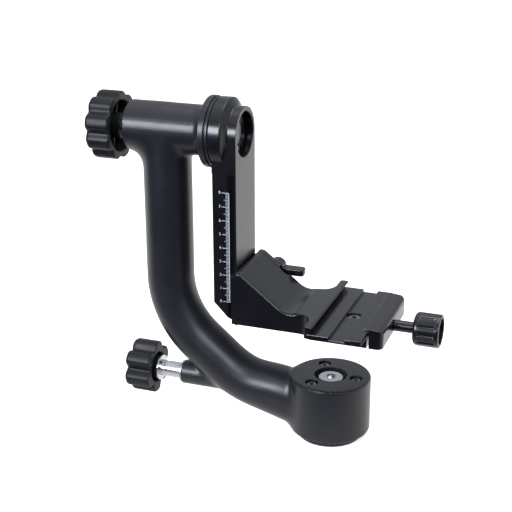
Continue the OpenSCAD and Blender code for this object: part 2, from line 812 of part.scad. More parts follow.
module clamp_centre_screw() {
  color(steel) translate([channel_x + channel_w / 2, 0, 0]) difference() {
    union() {
      translate([0, 0, floor_z - 7]) cylinder(h = 3.8, d = 9);
      translate([0, 0, base_z]) cylinder(h = base_t - 6, d = 5);
    }
    translate([0, 0, floor_z - 5.4]) cylinder(h = 4, d = 4.6, $fn = 6);
  }
}

// ---- Height lock ----

module height_jaw() {
  hook_h = bracket_h + base_t - 4;
  color(black_anodised) difference() {
    union() {
      intersection() {
        translate([0, jaw_side, 0]) rotate([90, 0, 0])
          linear_extrude(jaw_side - split_y - split_gap) platform_outline();
        translate([bracket_x, 0, base_z - 1])
          cube([split_x - bracket_x - split_gap, jaw_side, bracket_h + base_t + 2]);
      }
      translate([0, 0, base_z]) linear_extrude(hook_h) mirror([0, 1])
        hook_section(jaw_side - 1, split_y + split_gap);
    }
    translate([lever_x, 0, lever_z]) rod_y(0, clamp_l, lever_screw_d + 2 * run);
    for (z = [base_z + 5, floor_z + 5]) translate([lever_x, 0, z]) rod_y(split_y - 1, 6, jaw_pin_d + 2 * run);
  }
}

module height_jaw_pins() {
  color(steel) for (z = [base_z + 5, floor_z + 5])
    translate([lever_x, 0, z]) rod_y(split_y - 7, 11, jaw_pin_d);
}

module height_lever() {
  paddle_t = 5.2;
  paddle_r = 3;
  color(black_anodised) translate([lever_x, 0, lever_z]) difference() {
    union() {
      rod_y(jaw_side + slide_gap, lever_t, lever_hub_d);
      translate([0, jaw_side + slide_gap + 0.5, -4.3]) linear_extrude(paddle_t) union() {
        square([lever_l - paddle_r, lever_t - 1]);
        translate([0, paddle_r]) square([lever_l, lever_t - 1 - 2 * paddle_r]);
        for (y = [paddle_r, lever_t - 1 - paddle_r]) translate([lever_l - paddle_r, y]) circle(r = paddle_r);
      }
    }
    rod_y(0, 60, lever_screw_d);
  }
}

module lever_screw() {
  end_y = jaw_side + slide_gap + lever_t - 0.5;
  color(steel) translate([lever_x, 0, lever_z]) difference() {
    rod_y(2, end_y - 2, lever_screw_d);
    translate([0, end_y - 3, 0]) rotate([-90, 30, 0]) cylinder(h = 5, d = 3.5, $fn = 6);
  }
}

// ---- Movable jaw of the clamp ----

module clamp_jaw() {
  corner = 2.5;
  end_round = 4;
  color(black_anodised) difference() {
    translate([0, jaw_l / 2, 0]) rotate([90, 0, 0]) linear_extrude(jaw_l) {
      polygon([[jaw_root, jaw_z], [jaw_out, jaw_z], [jaw_out, jaw_top - 1 - corner],
        [jaw_out - corner, jaw_top - 1], [jaw_lip + 2, jaw_top], [jaw_lip, jaw_top],
        [jaw_lip, jaw_top - 0.8], [jaw_root, jaw_top - 0.8 - undercut]]);
      translate([jaw_out - corner, jaw_top - 1 - corner]) circle(r = corner - 0.02);
    }
    for (s = [-1, 1]) translate([0, 0, jaw_z - 1]) linear_extrude(jaw_top - jaw_z + 2) scale([1, s])
      corner_waste(jaw_out, jaw_l / 2, end_round);
    translate([0, 0, clamp_axis_z]) rod_x(jaw_root - 1, jaw_t + 2, clamp_screw_d + 2 * run);
    for (s = [-1, 1]) translate([0, s * guide_span / 2, clamp_axis_z])
      rod_x(jaw_root - 1, jaw_t + 1 - pin_wall, guide_d + 2 * run);
  }
}

module clamp_screw() {
  neck_d = 8;
  color(black_anodised) translate([0, 0, clamp_axis_z]) {
    rod_x(base_right - 9, jaw_out - base_right + 9 + slide_gap, clamp_screw_d);
    rod_x(jaw_out + slide_gap, clamp_neck + 5, neck_d);
  }
}

module clamp_knob() {
  flutes = 12;
  flute_d = 5;
  x0 = jaw_out + slide_gap + clamp_neck;
  color(black_anodised) translate([x0, 0, clamp_axis_z]) difference() {
    rod_x(0, clamp_knob_l, clamp_knob_d);
    for (i = [0:flutes - 1]) rotate([360 / flutes * i, 0, 0])
      translate([0, clamp_knob_d / 2 + flute_d / 2 - 0.7, 0]) rod_x(2.5, clamp_knob_l - 5, flute_d);
    rod_x(-1, 6, 8);
    rod_x(clamp_knob_l - 5, 6, clamp_knob_d - 5);
  }
}

module clamp_knob_cap() {
  x0 = jaw_out + slide_gap + clamp_neck;
  color(black_plastic) translate([x0, 0, clamp_axis_z]) difference() {
    rod_x(clamp_knob_l - 5, 2, clamp_knob_d - 5);
    rod_x(clamp_knob_l - 4, 3, 4.6, $fn = 6);
  }
}

foot_spindle();
tripod_bush();
pan_inner_races();
pan_washer();
pan_bolt();
j_arm();
bearing_cartridge();
pan_outer_races();
pan_ball_cages();
cap_screws();
tilt_bearing_cap();
tilt_outer_races();
tilt_ball_cages();
friction_ring();
tilt_lock_bush();
pan_lock_bush();
pan_brake_shoe();
pan_lock_screw();
pan_stem_washer();
pan_knob();
tilt_brake_pad();
tilt_lock_screw();
tilt_stem_washer();
tilt_knob();
swing_arm();
tilt_axle();
tilt_inner_races();
axle_nut();
arm_set_screw();
arm_stop_screws();
platform();
clamp_guide_pins();
clamp_springs();
clamp_centre_screw();
height_jaw();
height_jaw_pins();
height_lever();
lever_screw();
clamp_jaw();
clamp_screw();
clamp_knob();
clamp_knob_cap();
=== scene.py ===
"""Gimbal tripod head: detailed outer pieces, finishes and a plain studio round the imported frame.

Pieces are drawn in millimetres in the frame's own axes and scaled to metres when they are delivered.
"""
import json
from math import atan2, cos, pi, radians, sin, sqrt, tan

import bmesh
import bpy
import numpy as np
from mathutils import Matrix, Vector


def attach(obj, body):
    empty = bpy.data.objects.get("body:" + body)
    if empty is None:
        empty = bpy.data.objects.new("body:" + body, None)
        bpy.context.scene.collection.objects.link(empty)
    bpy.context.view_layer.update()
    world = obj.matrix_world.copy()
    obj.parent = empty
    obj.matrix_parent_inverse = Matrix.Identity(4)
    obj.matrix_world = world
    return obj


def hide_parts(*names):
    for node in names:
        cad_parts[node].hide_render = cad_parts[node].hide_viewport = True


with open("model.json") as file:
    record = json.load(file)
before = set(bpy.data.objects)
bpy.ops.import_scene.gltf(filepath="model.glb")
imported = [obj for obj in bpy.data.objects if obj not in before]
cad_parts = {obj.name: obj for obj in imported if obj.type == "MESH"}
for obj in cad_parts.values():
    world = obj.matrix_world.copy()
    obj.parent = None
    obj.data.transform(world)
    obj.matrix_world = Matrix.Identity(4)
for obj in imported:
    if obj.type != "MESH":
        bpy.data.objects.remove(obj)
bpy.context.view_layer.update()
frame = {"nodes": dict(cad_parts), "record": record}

MM = 0.001
STEEP = radians(32)
FLAT_AREA, FLAT_BEND = 40.0, radians(9)

# Heights and places shared by several pieces, in millimetres
TILT_Z = 217.0
LOCK_Z = 215.4
REACH = 123.0
TUBE_R = 17.2
BASE_R = 28.7
BASE_TOP = 46.0
BASE_BOTTOM = 5.0
HOUSING_R = 17.6
HOUSING_END = -149.5
CAP_OUT, CAP_IN = -90.2, -83.2
HEAD_OUT = -82.4
ARM_OUT, ARM_IN = -81.9, -64.3
HEAD_R = 24.6
RAIL_HALF = 19.0
ARM_BOTTOM = 82.5
PAN_LOCK_Z = 29.8
BOSS_R, BOSS_OUT = 8.9, -114.0
FLOOR_Z, BASE_Z = 96.0, 85.5
BRACKET_X = -64.2
BRACKET_TOP = 125.4
CLAMP_Z = 91.2
CARTRIDGE_TOP = 39.0
SCREW_FLOOR, SCREW_TOP = 40.5, 44.5
SCREW_CIRCLE = 18.6
POCKET_R = 15.7
HOOK_HEIGHT = 35.9
LOCK_BORE = 3.05
GUIDE_Y = 20.0
AT_TILT, AT_PAN_LOCK, AT_CLAMP = (0, 0, TILT_Z), (0, 0, PAN_LOCK_Z), (0, 0, CLAMP_Z)
SCREW_SPOTS = [(SCREW_CIRCLE * cos(k * 2 * pi / 3), SCREW_CIRCLE * sin(k * 2 * pi / 3), 0) for k in range(3)]
SET_SCREW_SPOT = (0, -POCKET_R * cos(radians(25)), TILT_Z - POCKET_R * sin(radians(25)))


# --- shop tools ---

def laid(bm, axis, centre):
    """Turns a shell that was drawn along X on to another axis, then moves it to its place."""
    if axis == "Y":
        bmesh.ops.rotate(bm, verts=bm.verts, cent=(0, 0, 0), matrix=Matrix.Rotation(pi / 2, 3, "Z"))
    elif axis == "Z":
        bmesh.ops.rotate(bm, verts=bm.verts, cent=(0, 0, 0), matrix=Matrix.Rotation(-pi / 2, 3, "Y"))
    bmesh.ops.translate(bm, verts=bm.verts, vec=centre)
    return bm


def rounded(points, radii, closed=True, steps=4):
    """An outline with its corners rounded, each by its own radius."""
    count = len(points)
    out = []
    for i, r in enumerate(radii):
        here = Vector(points[i])
        if r <= 0 or (not closed and i in (0, count - 1)):
            out.append(tuple(here))
            continue
        back = (Vector(points[i - 1]) - here).normalized()
        ahead = (Vector(points[(i + 1) % count]) - here).normalized()
        half = back.angle(ahead) / 2
        if half > radians(88):
            out.append(tuple(here))
            continue
        centre = here + (back + ahead).normalized() * (r / sin(half))
        start = here + back * (r / tan(half)) - centre
        end = here + ahead * (r / tan(half)) - centre
        first = atan2(start.y, start.x)
        sweep = (atan2(end.y, end.x) - first + pi) % (2 * pi) - pi
        for k in range(steps + 1):
            angle = first + sweep * k / steps
            out.append((centre.x + r * cos(angle), centre.y + r * sin(angle)))
    return out


def faced_out(bm):
    """The shell with all its faces looking outward."""
    bmesh.ops.recalc_face_normals(bm, faces=bm.faces)
    return bm


def turned(profile, axis="X", centre=(0, 0, 0), steps=96, closed=False):
    """A turned part. The profile gives (place along the axis, radius) from one end to the other."""
    bm = bmesh.new()
    verts = [bm.verts.new((place, 0, max(radius, 0))) for place, radius in profile]
    pairs = list(zip(verts, verts[1:])) + ([(verts[-1], verts[0])] if closed else [])
    edges = [bm.edges.new(pair) for pair in pairs]
    bmesh.ops.spin(bm, geom=verts + edges, cent=(0, 0, 0), axis=(1, 0, 0), angle=2 * pi,
                   steps=steps, use_merge=True)
    bmesh.ops.remove_doubles(bm, verts=bm.verts, dist=1e-4)
    return laid(faced_out(bm), axis, centre)


def lathed(profile, ease, axis="X", centre=(0, 0, 0), sides=96, steps=3, closed=False):
    """A turned part whose profile has these radii at its corners."""
    return turned(rounded(profile, ease, closed, steps), axis, centre, sides, closed)


def bar(axis, start, end, radius, centre=(0, 0, 0), edge=0.3, sides=64):
    """A plain round bar with eased ends."""
    profile = [(start, 0), (start, radius), (end, radius), (end, 0)]
    return lathed(profile, [0, edge, edge, 0], axis, centre, sides)


def drill(axis, start, end, radius, centre=(0, 0, 0), sides=48):
    """A plain cylinder, for cutting a hole with."""
    return bar(axis, start, end, radius, centre, 0, sides)


def ring(axis, start, end, outer, inner, centre=(0, 0, 0), edge=0.3, sides=96):
    """A ring with eased outer edges."""
    profile = [(start, inner), (start, outer), (end, outer), (end, inner)]
    return lathed(profile, [0, edge, edge, 0], axis, centre, sides, closed=True)


def stepped(axis, centre, bottom, shank, seat, head, top, ease, sides=48, steps=3):
    """A screw or stem: a round shank up to its seat, then a wider head."""
    profile = [(bottom, 0), (bottom, shank), (seat, shank), (seat, head), (top, head), (top, 0)]
    return lathed(profile, ease, axis, centre, sides, steps)


def extruded(outline, axis, start, end):
    """A bar with this outline, in (Y, Z) along X, (X, Z) along Y or (X, Y) along Z."""
    place = {"X": lambda u, v, w: (w, u, v), "Y": lambda u, v, w: (u, w, v),
             "Z": lambda u, v, w: (u, v, w)}[axis]
    bm = bmesh.new()
    face = bm.faces.new([bm.verts.new(place(u, v, start)) for u, v in outline])
    made = bmesh.ops.extrude_face_region(bm, geom=[face])
    moved = [g for g in made["geom"] if isinstance(g, bmesh.types.BMVert)]
    bmesh.ops.translate(bm, verts=moved, vec=place(0, 0, end - start))
    return faced_out(bm)


def block(low, high):
    """A plain block between two corners, for cutting with."""
    low, high = Vector(low), Vector(high)
    bm = bmesh.new()
    size = Matrix.Diagonal((*(high - low), 1))
    bmesh.ops.create_cube(bm, size=1, matrix=Matrix.Translation((low + high) / 2) @ size)
    return bm


def hexagon(across, start, end, axis, centre, turn=0.0):
    """A six-sided bar, for cutting a socket with."""
    corner = across / sqrt(3)
    outline = [(corner * cos(turn + k * pi / 3), corner * sin(turn + k * pi / 3)) for k in range(6)]
    return laid(extruded(outline, "X", start, end), axis, centre)


def mesh_of(bm, name):
    """The shell as a mesh; the shell itself is freed."""
    mesh = bpy.data.meshes.new(name)
    bm.to_mesh(mesh)
    bm.free()
    return mesh


def in_scene(name, data):
    """A new object in the scene that carries a mesh, lens, lamp or lettering."""
    thing = bpy.data.objects.new(name, data)
    bpy.context.scene.collection.objects.link(thing)
    return thing


def shell_of(thing):
    """The shell of an object as its modifiers leave it."""
    bpy.context.view_layer.update()
    made = bpy.data.meshes.new_from_object(thing.evaluated_get(bpy.context.evaluated_depsgraph_get()))
    bm = bmesh.new()
    bm.from_mesh(made)
    bpy.data.meshes.remove(made)
    return bm


def together(*shells):
    """Several closed shells in one mesh."""
    bm = shells[0]
    for other in shells[1:]:
        passing = mesh_of(other, "passing")
        bm.from_mesh(passing)
        bpy.data.meshes.remove(passing)
    return bm


def off_bench(blank, tools=()):
    """The worked shell; the passing objects are cleared away."""
    bm = shell_of(blank)
    for thing in [blank, *tools]:
        mesh = thing.data
        bpy.data.objects.remove(thing)
        bpy.data.meshes.remove(mesh)
    return bm


def worked(bm, tools, how="DIFFERENCE", tidy=True):
    """The shell after other shells are cut from it, joined to it, or kept in common with it."""
    blank = in_scene("blank", mesh_of(bm, "blank"))
    cutters = [in_scene("cutter", mesh_of(tool, "cutter")) for tool in tools]
    for cutter in cutters:
        step = blank.modifiers.new("work", "BOOLEAN")
        step.operation, step.object, step.solver = how, cutter, "EXACT"
    bm = off_bench(blank, cutters)
    bmesh.ops.remove_doubles(bm, verts=bm.verts, dist=4e-4)
    bmesh.ops.dissolve_degenerate(bm, dist=4e-4, edges=bm.edges)
    if tidy:
        bmesh.ops.dissolve_limit(bm, angle_limit=radians(0.4), verts=bm.verts, edges=bm.edges)
    return bm


def softened(bm, width, steep=30, segments=2, where=None):
    """The shell with its steep edges rounded over."""
    edges = [e for e in bm.edges if e.is_manifold and e.calc_face_angle(0) > radians(steep)
             and (where is None or where(e))]
    bmesh.ops.bevel(bm, geom=edges, offset=width, offset_type="OFFSET", affect="EDGES",
                    segments=segments, profile=0.5, material=-1, clamp_overlap=False)
    bmesh.ops.remove_doubles(bm, verts=bm.verts, dist=3e-4)
    return bm


def deliver(bm, name, body, finish, stands_for=None, steep=STEEP):
    """Puts a finished shell into the scene, on its body, in its finish."""
    faced_out(bm).normal_update()
    for face in bm.faces:
        face.smooth = True
    for edge in bm.edges:
        if edge.is_manifold:
            bend = edge.calc_face_angle(0)
            wide = max(face.calc_area() for face in edge.link_faces) > FLAT_AREA
            edge.smooth = bend < (FLAT_BEND if wide else steep)
    bmesh.ops.scale(bm, vec=(MM, MM, MM), verts=bm.verts)
    mesh = mesh_of(bm, name)
    mesh.materials.append(finish)
    thing = in_scene(name, mesh)
    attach(thing, body)
    if stands_for:
        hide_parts(stands_for)
    even = thing.modifiers.new("even shading", "WEIGHTED_NORMAL")
    even.keep_sharp = True


# --- finishes ---

def sheet_of_nodes(name, inputs, output):
    """A new shader group: its tree, what it is given, and the socket of its one result."""
    tree = bpy.data.node_groups.new(name, "ShaderNodeTree")
    for label, value in inputs.items():
        socket = tree.interface.new_socket(label, in_out="INPUT", socket_type="NodeSocketFloat")
        socket.default_value = value
    tree.interface.new_socket(output, in_out="OUTPUT", socket_type="NodeSocketFloat")
    return tree, tree.nodes.new("NodeGroupInput").outputs, tree.nodes.new("NodeGroupOutput").inputs[0]


def feed(tree, socket, value):
    """Gives a socket a number or a colour, or links another socket to it."""
    if isinstance(value, bpy.types.NodeSocket):
        tree.links.new(value, socket)
    else:
        socket.default_value = value


def maths(tree, how, first, second=0.0, clamp=False):
    """One sum between two sockets or numbers."""
    node = tree.nodes.new("ShaderNodeMath")
    node.operation, node.use_clamp = how, clamp
    feed(tree, node.inputs[0], first)
    feed(tree, node.inputs[1], second)
    return node.outputs[0]


def coordinate(tree, kind="Object"):
    """A point's place, in the object's own coordinates or in another kind."""
    return tree.nodes.new("ShaderNodeTexCoord").outputs[kind]


def parts_of(tree, vector):
    """The X, Y and Z of a vector."""
    node = tree.nodes.new("ShaderNodeSeparateXYZ")
    tree.links.new(vector, node.inputs[0])
    return node.outputs


def ramp(tree, value, start, end, low, high, eased=False):
    """A value that runs from low to high while another runs from start to end."""
    node = tree.nodes.new("ShaderNodeMapRange")
    node.interpolation_type = "SMOOTHSTEP" if eased else "LINEAR"
    for label, number in zip(("From Min", "From Max", "To Min", "To Max"), (start, end, low, high)):
        node.inputs[label].default_value = number
    tree.links.new(value, node.inputs["Value"])
    return node.outputs["Result"]


def noise(tree, place, scale, detail=2.0, rough=0.5):
    """The value of a noise texture at a place."""
    node = tree.nodes.new("ShaderNodeTexNoise")
    node.inputs["Detail"].default_value = detail
    node.inputs["Roughness"].default_value = rough
    tree.links.new(place, node.inputs["Vector"])
    feed(tree, node.inputs["Scale"], scale)
    return node.outputs["Fac"]


def fine_grain():
    """Height of the fine pebbled skin of a sprayed or blasted surface."""
    tree, given, out = sheet_of_nodes("fine_grain", {"Grain": 1500.0, "Pebble": 520.0}, "Height")
    place = coordinate(tree)
    small = noise(tree, place, given["Grain"], 3.0, 0.6)
    large = noise(tree, place, given["Pebble"], 1.0)
    tree.links.new(maths(tree, "ADD", maths(tree, "MULTIPLY", small, 0.6),
                         maths(tree, "MULTIPLY", large, 0.4)), out)
    return tree


def handling():
    """Soft patches where hands have polished or dulled a surface, from 0 to 1."""
    tree, given, out = sheet_of_nodes("handling", {"Patch": 26.0}, "Mask")
    patch = noise(tree, coordinate(tree), given["Patch"], 4.0, 0.62)
    tree.links.new(ramp(tree, patch, 0.36, 0.66, 0.0, 1.0), out)
    return tree


def light_dust():
    """Thin dust that lies on the upper side of things, from 0 to 1."""
    tree, given, out = sheet_of_nodes("light_dust", {"Amount": 0.1}, "Mask")
    normal = tree.nodes.new("ShaderNodeNewGeometry").outputs["Normal"]
    place = coordinate(tree)
    speck = noise(tree, place, 900.0, 4.0, 0.7)
    cloud = noise(tree, place, 38.0, 3.0)
    up = maths(tree, "MAXIMUM", parts_of(tree, normal)["Z"], 0.0)
    both = maths(tree, "MULTIPLY", maths(tree, "MULTIPLY", speck, cloud), maths(tree, "POWER", up, 3.0))
    tree.links.new(maths(tree, "MULTIPLY", both, given["Amount"], clamp=True), out)
    return tree


def tool_marks():
    """Height of the fine rings that a lathe leaves, along X."""
    tree, given, out = sheet_of_nodes("tool_marks", {"Pitch": 2600.0}, "Height")
    stretch = tree.nodes.new("ShaderNodeMapping")
    stretch.inputs["Scale"].default_value = (1.0, 0.04, 0.04)
    tree.links.new(coordinate(tree), stretch.inputs["Vector"])
    tree.links.new(noise(tree, stretch.outputs["Vector"], given["Pitch"], 2.0), out)
    return tree


GROUPS = {"grain": fine_grain(), "handling": handling(), "dust": light_dust(), "marks": tool_marks()}
DUST_COLOUR = (0.42, 0.41, 0.39)


def placed(tree, which, **values):
    """A shared group placed in a material with its own values."""
    node = tree.nodes.new("ShaderNodeGroup")
    node.node_tree = GROUPS[which]
    for label, value in values.items():
        node.inputs[label].default_value = value
    return node.outputs[0]


def tinted(tree, mask, first, second):
    """A colour between two, by a mask."""
    node = tree.nodes.new("ShaderNodeMix")
    node.data_type = "RGBA"
    tree.links.new(mask, node.inputs["Factor"])
    for slot, colour in (("A", first), ("B", second)):
        socket = [s for s in node.inputs if s.name == slot and s.type == "RGBA"][0]
        feed(tree, socket, (*colour, 1) if isinstance(colour, tuple) else colour)
    return [s for s in node.outputs if s.type == "RGBA"][0]


def new_finish(name):
    """A new material, its shader tree and its shader."""
    material = bpy.data.materials.new(name)
    material.use_nodes = True
    return material, material.node_tree, material.node_tree.nodes["Principled BSDF"]


def surface(name, colour, other, rough, metallic=0.0, skin="grain", grain=1500.0, pebble=520.0,
            relief=0.00004, dust=0.0, level=0.5):
    """A finish: handling varies colour and roughness, a fine skin gives relief, dust lies on top."""
    material, tree, shader = new_finish(name)
    shader.inputs["Metallic"].default_value = metallic
    shader.inputs["Specular IOR Level"].default_value = level
    touched = placed(tree, "handling")
    tone = tinted(tree, touched, colour, other)
    wear = ramp(tree, touched, 0.0, 1.0, *rough)
    if dust:
        lying = placed(tree, "dust", Amount=dust)
        tone = tinted(tree, lying, tone, DUST_COLOUR)
        wear = maths(tree, "ADD", wear, maths(tree, "MULTIPLY", lying, 0.6), clamp=True)
    tree.links.new(tone, shader.inputs["Base Color"])
    tree.links.new(wear, shader.inputs["Roughness"])
    if skin == "grain":
        height = placed(tree, "grain", Grain=grain, Pebble=pebble)
    else:
        height = placed(tree, "marks", Pitch=grain)
    bump = tree.nodes.new("ShaderNodeBump")
    bump.inputs["Strength"].default_value = 1.0
    bump.inputs["Distance"].default_value = relief
    tree.links.new(height, bump.inputs["Height"])
    tree.links.new(bump.outputs["Normal"], shader.inputs["Normal"])
    return material


COAT = surface("black_powder_coat", (0.0085, 0.0088, 0.0125), (0.0105, 0.0108, 0.0150),
               (0.31, 0.37), grain=2300.0, pebble=800.0, relief=0.00002, dust=0.06)
ANODISED = surface("black_anodised_aluminium", (0.0030, 0.0030, 0.0050), (0.0045, 0.0045, 0.0068),
                   (0.19, 0.25), grain=3600.0, pebble=1300.0, relief=0.000003, dust=0.05)
MOULDED = surface("moulded_black_plastic", (0.0060, 0.0060, 0.0080), (0.0085, 0.0085, 0.0105),
                  (0.40, 0.50), grain=2000.0, pebble=700.0, relief=0.00003, dust=0.05, level=0.27)
BRIGHT = surface("bright_steel", (0.62, 0.62, 0.64), (0.56, 0.56, 0.58), (0.20, 0.30), metallic=1.0,
                 skin="marks", grain=2600.0, relief=0.000004)
GROUND = surface("ground_steel", (0.30, 0.30, 0.31), (0.24, 0.24, 0.25), (0.30, 0.42), metallic=1.0,
                 skin="marks", grain=1800.0, relief=0.000005)
MACHINED_BRASS = surface("machined_brass", (0.58, 0.42, 0.17), (0.50, 0.35, 0.13), (0.24, 0.34),
                         metallic=1.0, skin="marks", grain=2200.0, relief=0.000004)
SLIP_RING = surface("slip_ring_plastic", (0.80, 0.80, 0.78), (0.74, 0.74, 0.71), (0.38, 0.46),
                    grain=2400.0, relief=0.000006)
SCALE_PAINT = surface("ruler_paint", (0.62, 0.63, 0.66), (0.50, 0.51, 0.54), (0.45, 0.60),
                      grain=3000.0, relief=0.000006)

FINISH_OF_SLOT = {"black_coat": COAT, "black_anodised": ANODISED, "steel": BRIGHT, "dark_steel": GROUND,
                  "brass": MACHINED_BRASS, "black_plastic": MOULDED, "bearing_plastic": SLIP_RING}
for part in frame["record"]["subparts"]:
    carried = frame["nodes"][part["node"]]
    carried.data.materials.clear()
    carried.data.materials.append(FINISH_OF_SLOT[part["material_slot"]])


# --- the casting ---

BEND1_R, BEND1 = 66.0, radians(50)
BEND_GAP = 23.0
BEND2_R, BEND2 = 67.0, radians(25)
ROOT_Z = 14.6
TURN = BEND1 + BEND2
ROOT_L = (REACH - BEND1_R * (1 - cos(BEND1)) - BEND_GAP * sin(BEND1)
          - BEND2_R * (cos(BEND1) - cos(TURN))) / sin(TURN)
BEND_TOP = (ROOT_Z + ROOT_L * cos(TURN) + BEND1_R * sin(BEND1) + BEND_GAP * cos(BEND1)
            + BEND2_R * (sin(TURN) - sin(BEND1)))
BEND1_CENTRE = Vector((BEND1_R - REACH, BEND_TOP))
BEND1_END = BEND1_CENTRE + BEND1_R * Vector((-cos(BEND1), -sin(BEND1)))
BEND2_START = BEND1_END + BEND_GAP * Vector((sin(BEND1), -cos(BEND1)))
BEND2_CENTRE = BEND2_START + BEND2_R * Vector((cos(BEND1), sin(BEND1)))
BEND2_END = BEND2_CENTRE + BEND2_R * Vector((-cos(TURN), -sin(TURN)))


def rough_tube():
    """The J tube: a ring drawn down the upright, spun round two bends and run into the base."""
    bm = bmesh.new()
    top = Matrix.Translation((-REACH, 0, TILT_Z))
    bmesh.ops.create_circle(bm, segments=48, radius=TUBE_R, matrix=top)
    rim = list(bm.edges)

    def straight(rim, step):
        made = bmesh.ops.extrude_edge_only(bm, edges=rim)
        moved = {g for g in made["geom"] if isinstance(g, bmesh.types.BMVert)}
        bmesh.ops.translate(bm, verts=list(moved), vec=step)
        return [g for g in made["geom"] if isinstance(g, bmesh.types.BMEdge)
                and g.verts[0] in moved and g.verts[1] in moved]

    def bend(rim, centre, angle, steps):
        verts = list({v for e in rim for v in e.verts})
        made = bmesh.ops.spin(bm, geom=verts + rim, cent=(centre.x, 0, centre.y), axis=(0, -1, 0),
                              angle=angle, steps=steps)
        return [g for g in made["geom_last"] if isinstance(g, bmesh.types.BMEdge)]

    rim = straight(rim, (0, 0, BEND_TOP - TILT_Z))
    rim = bend(rim, BEND1_CENTRE, BEND1, 16)
    rim = straight(rim, Vector((sin(BEND1), 0, -cos(BEND1))) * BEND_GAP)
    rim = bend(rim, BEND2_CENTRE, BEND2, 8)
    straight(rim, Vector((sin(TURN), 0, -cos(TURN))) * (ROOT_L - 4))
    bmesh.ops.holes_fill(bm, edges=bm.edges, sides=0)
    return faced_out(bm)


def far_from_stretch(across, along, start, end):
    """How far points are from a straight stretch of the tube's line, in its plane."""
    run = np.array(end - start)
    reach = np.clip(((across - start.x) * run[0] + (along - start.y) * run[1]) / (run @ run), 0, 1)
    return np.hypot(across - start.x - reach * run[0], along - start.y - reach * run[1])


def far_from_bend(across, along, centre, radius, start, end):
    """How far points are from a bend of the tube's line; outside its sweep they are far away."""
    dx, dz = across - centre.x, along - centre.y
    angle = np.arctan2(-dz, -dx)
    inside = (angle >= start) & (angle <= end)
    return np.where(inside, np.abs(np.hypot(dx, dz) - radius), 1e3)


def far_from_bar(along, across, up, start, end, radius, edge):
    """Distance to a round bar with eased ends."""
    outward = np.hypot(across, up) - (radius - edge)
    endward = np.abs(along - (start + end) / 2) - ((end - start) / 2 - edge)
    return (np.minimum(np.maximum(outward, endward), 0)
            + np.hypot(np.maximum(outward, 0), np.maximum(endward, 0)) - edge)


def filleted(first, second, size):
    """Two distances joined with a fillet between them."""
    blend = np.maximum(size - np.abs(first - second), 0) / size
    return np.minimum(first, second) - blend * blend * size / 4


def smooth_step(t):
    """Runs from 0 to 1 as t does, easing at both ends."""
    return t * t * (3 - 2 * t)


def casting_skin(points):
    """Signed distance from the cast arm's skin: tube, housing, base and boss with their fillets."""
    x, y, z = points.T
    flat = np.minimum.reduce([
        far_from_stretch(x, z, Vector((-REACH, TILT_Z)), Vector((-REACH, BEND_TOP))),
        far_from_bend(x, z, BEND1_CENTRE, BEND1_R, 0, BEND1),
        far_from_stretch(x, z, BEND1_END, BEND2_START),
        far_from_bend(x, z, BEND2_CENTRE, BEND2_R, BEND1, TURN),
        far_from_stretch(x, z, BEND2_END, Vector((0, ROOT_Z)))])
    above = np.clip((z - ROOT_Z + x / tan(TURN)) / TUBE_R, 0, 1)
    near_base = smooth_step(np.clip((x + 62) / 33, 0, 1))
    swell = 0.8 * np.clip((x + 90) / 90, 0, 1) ** 2 + 3.4 * above * near_base
    tube = np.hypot(flat, y) - TUBE_R - swell
    flare = 3.6 * np.clip((x + 97.5) / 7.3, 0, 1) ** 2.2
    housing = far_from_bar(x, y, z - TILT_Z, HOUSING_END, CAP_OUT + 0.05, HOUSING_R + flare, 0.9)
    base = far_from_bar(z, x, y, BASE_BOTTOM, BASE_TOP, BASE_R, 1.5)
    boss = far_from_bar(x, y, z - PAN_LOCK_Z, BOSS_OUT, -20.0, BOSS_R, 0.5)
    from_middles = np.maximum(np.hypot(flat, y) * np.hypot(y, z - TILT_Z), 1)
    lean = (y * y + np.maximum(z - TILT_Z, 0) ** 2) / from_middles
    crotch = 7 + 7 * np.clip((-112 - x) / 20, 0, 1)
    skin = filleted(tube, housing, crotch * np.clip(1 - lean, 0.02, 1) ** 0.55)
    skin = filleted(skin, base, 5.0)
    skin = filleted(skin, boss, 3.0)
    return -filleted(-skin, z - BASE_BOTTOM, 1.2)


def hugged(bm, passes=4):
    """Draws every point of the shell on to the casting's skin."""
    points = np.array([v.co for v in bm.verts], float)
    reach = 0.02
    for _ in range(passes):
        gap = casting_skin(points)
        slope = np.stack([casting_skin(points + step) - casting_skin(points - step)
                          for step in np.eye(3) * reach], 1) / (2 * reach)
        points -= slope * (gap / np.maximum((slope ** 2).sum(1), 0.2))[:, None]
    for vert, place in zip(bm.verts, points):
        vert.co = place


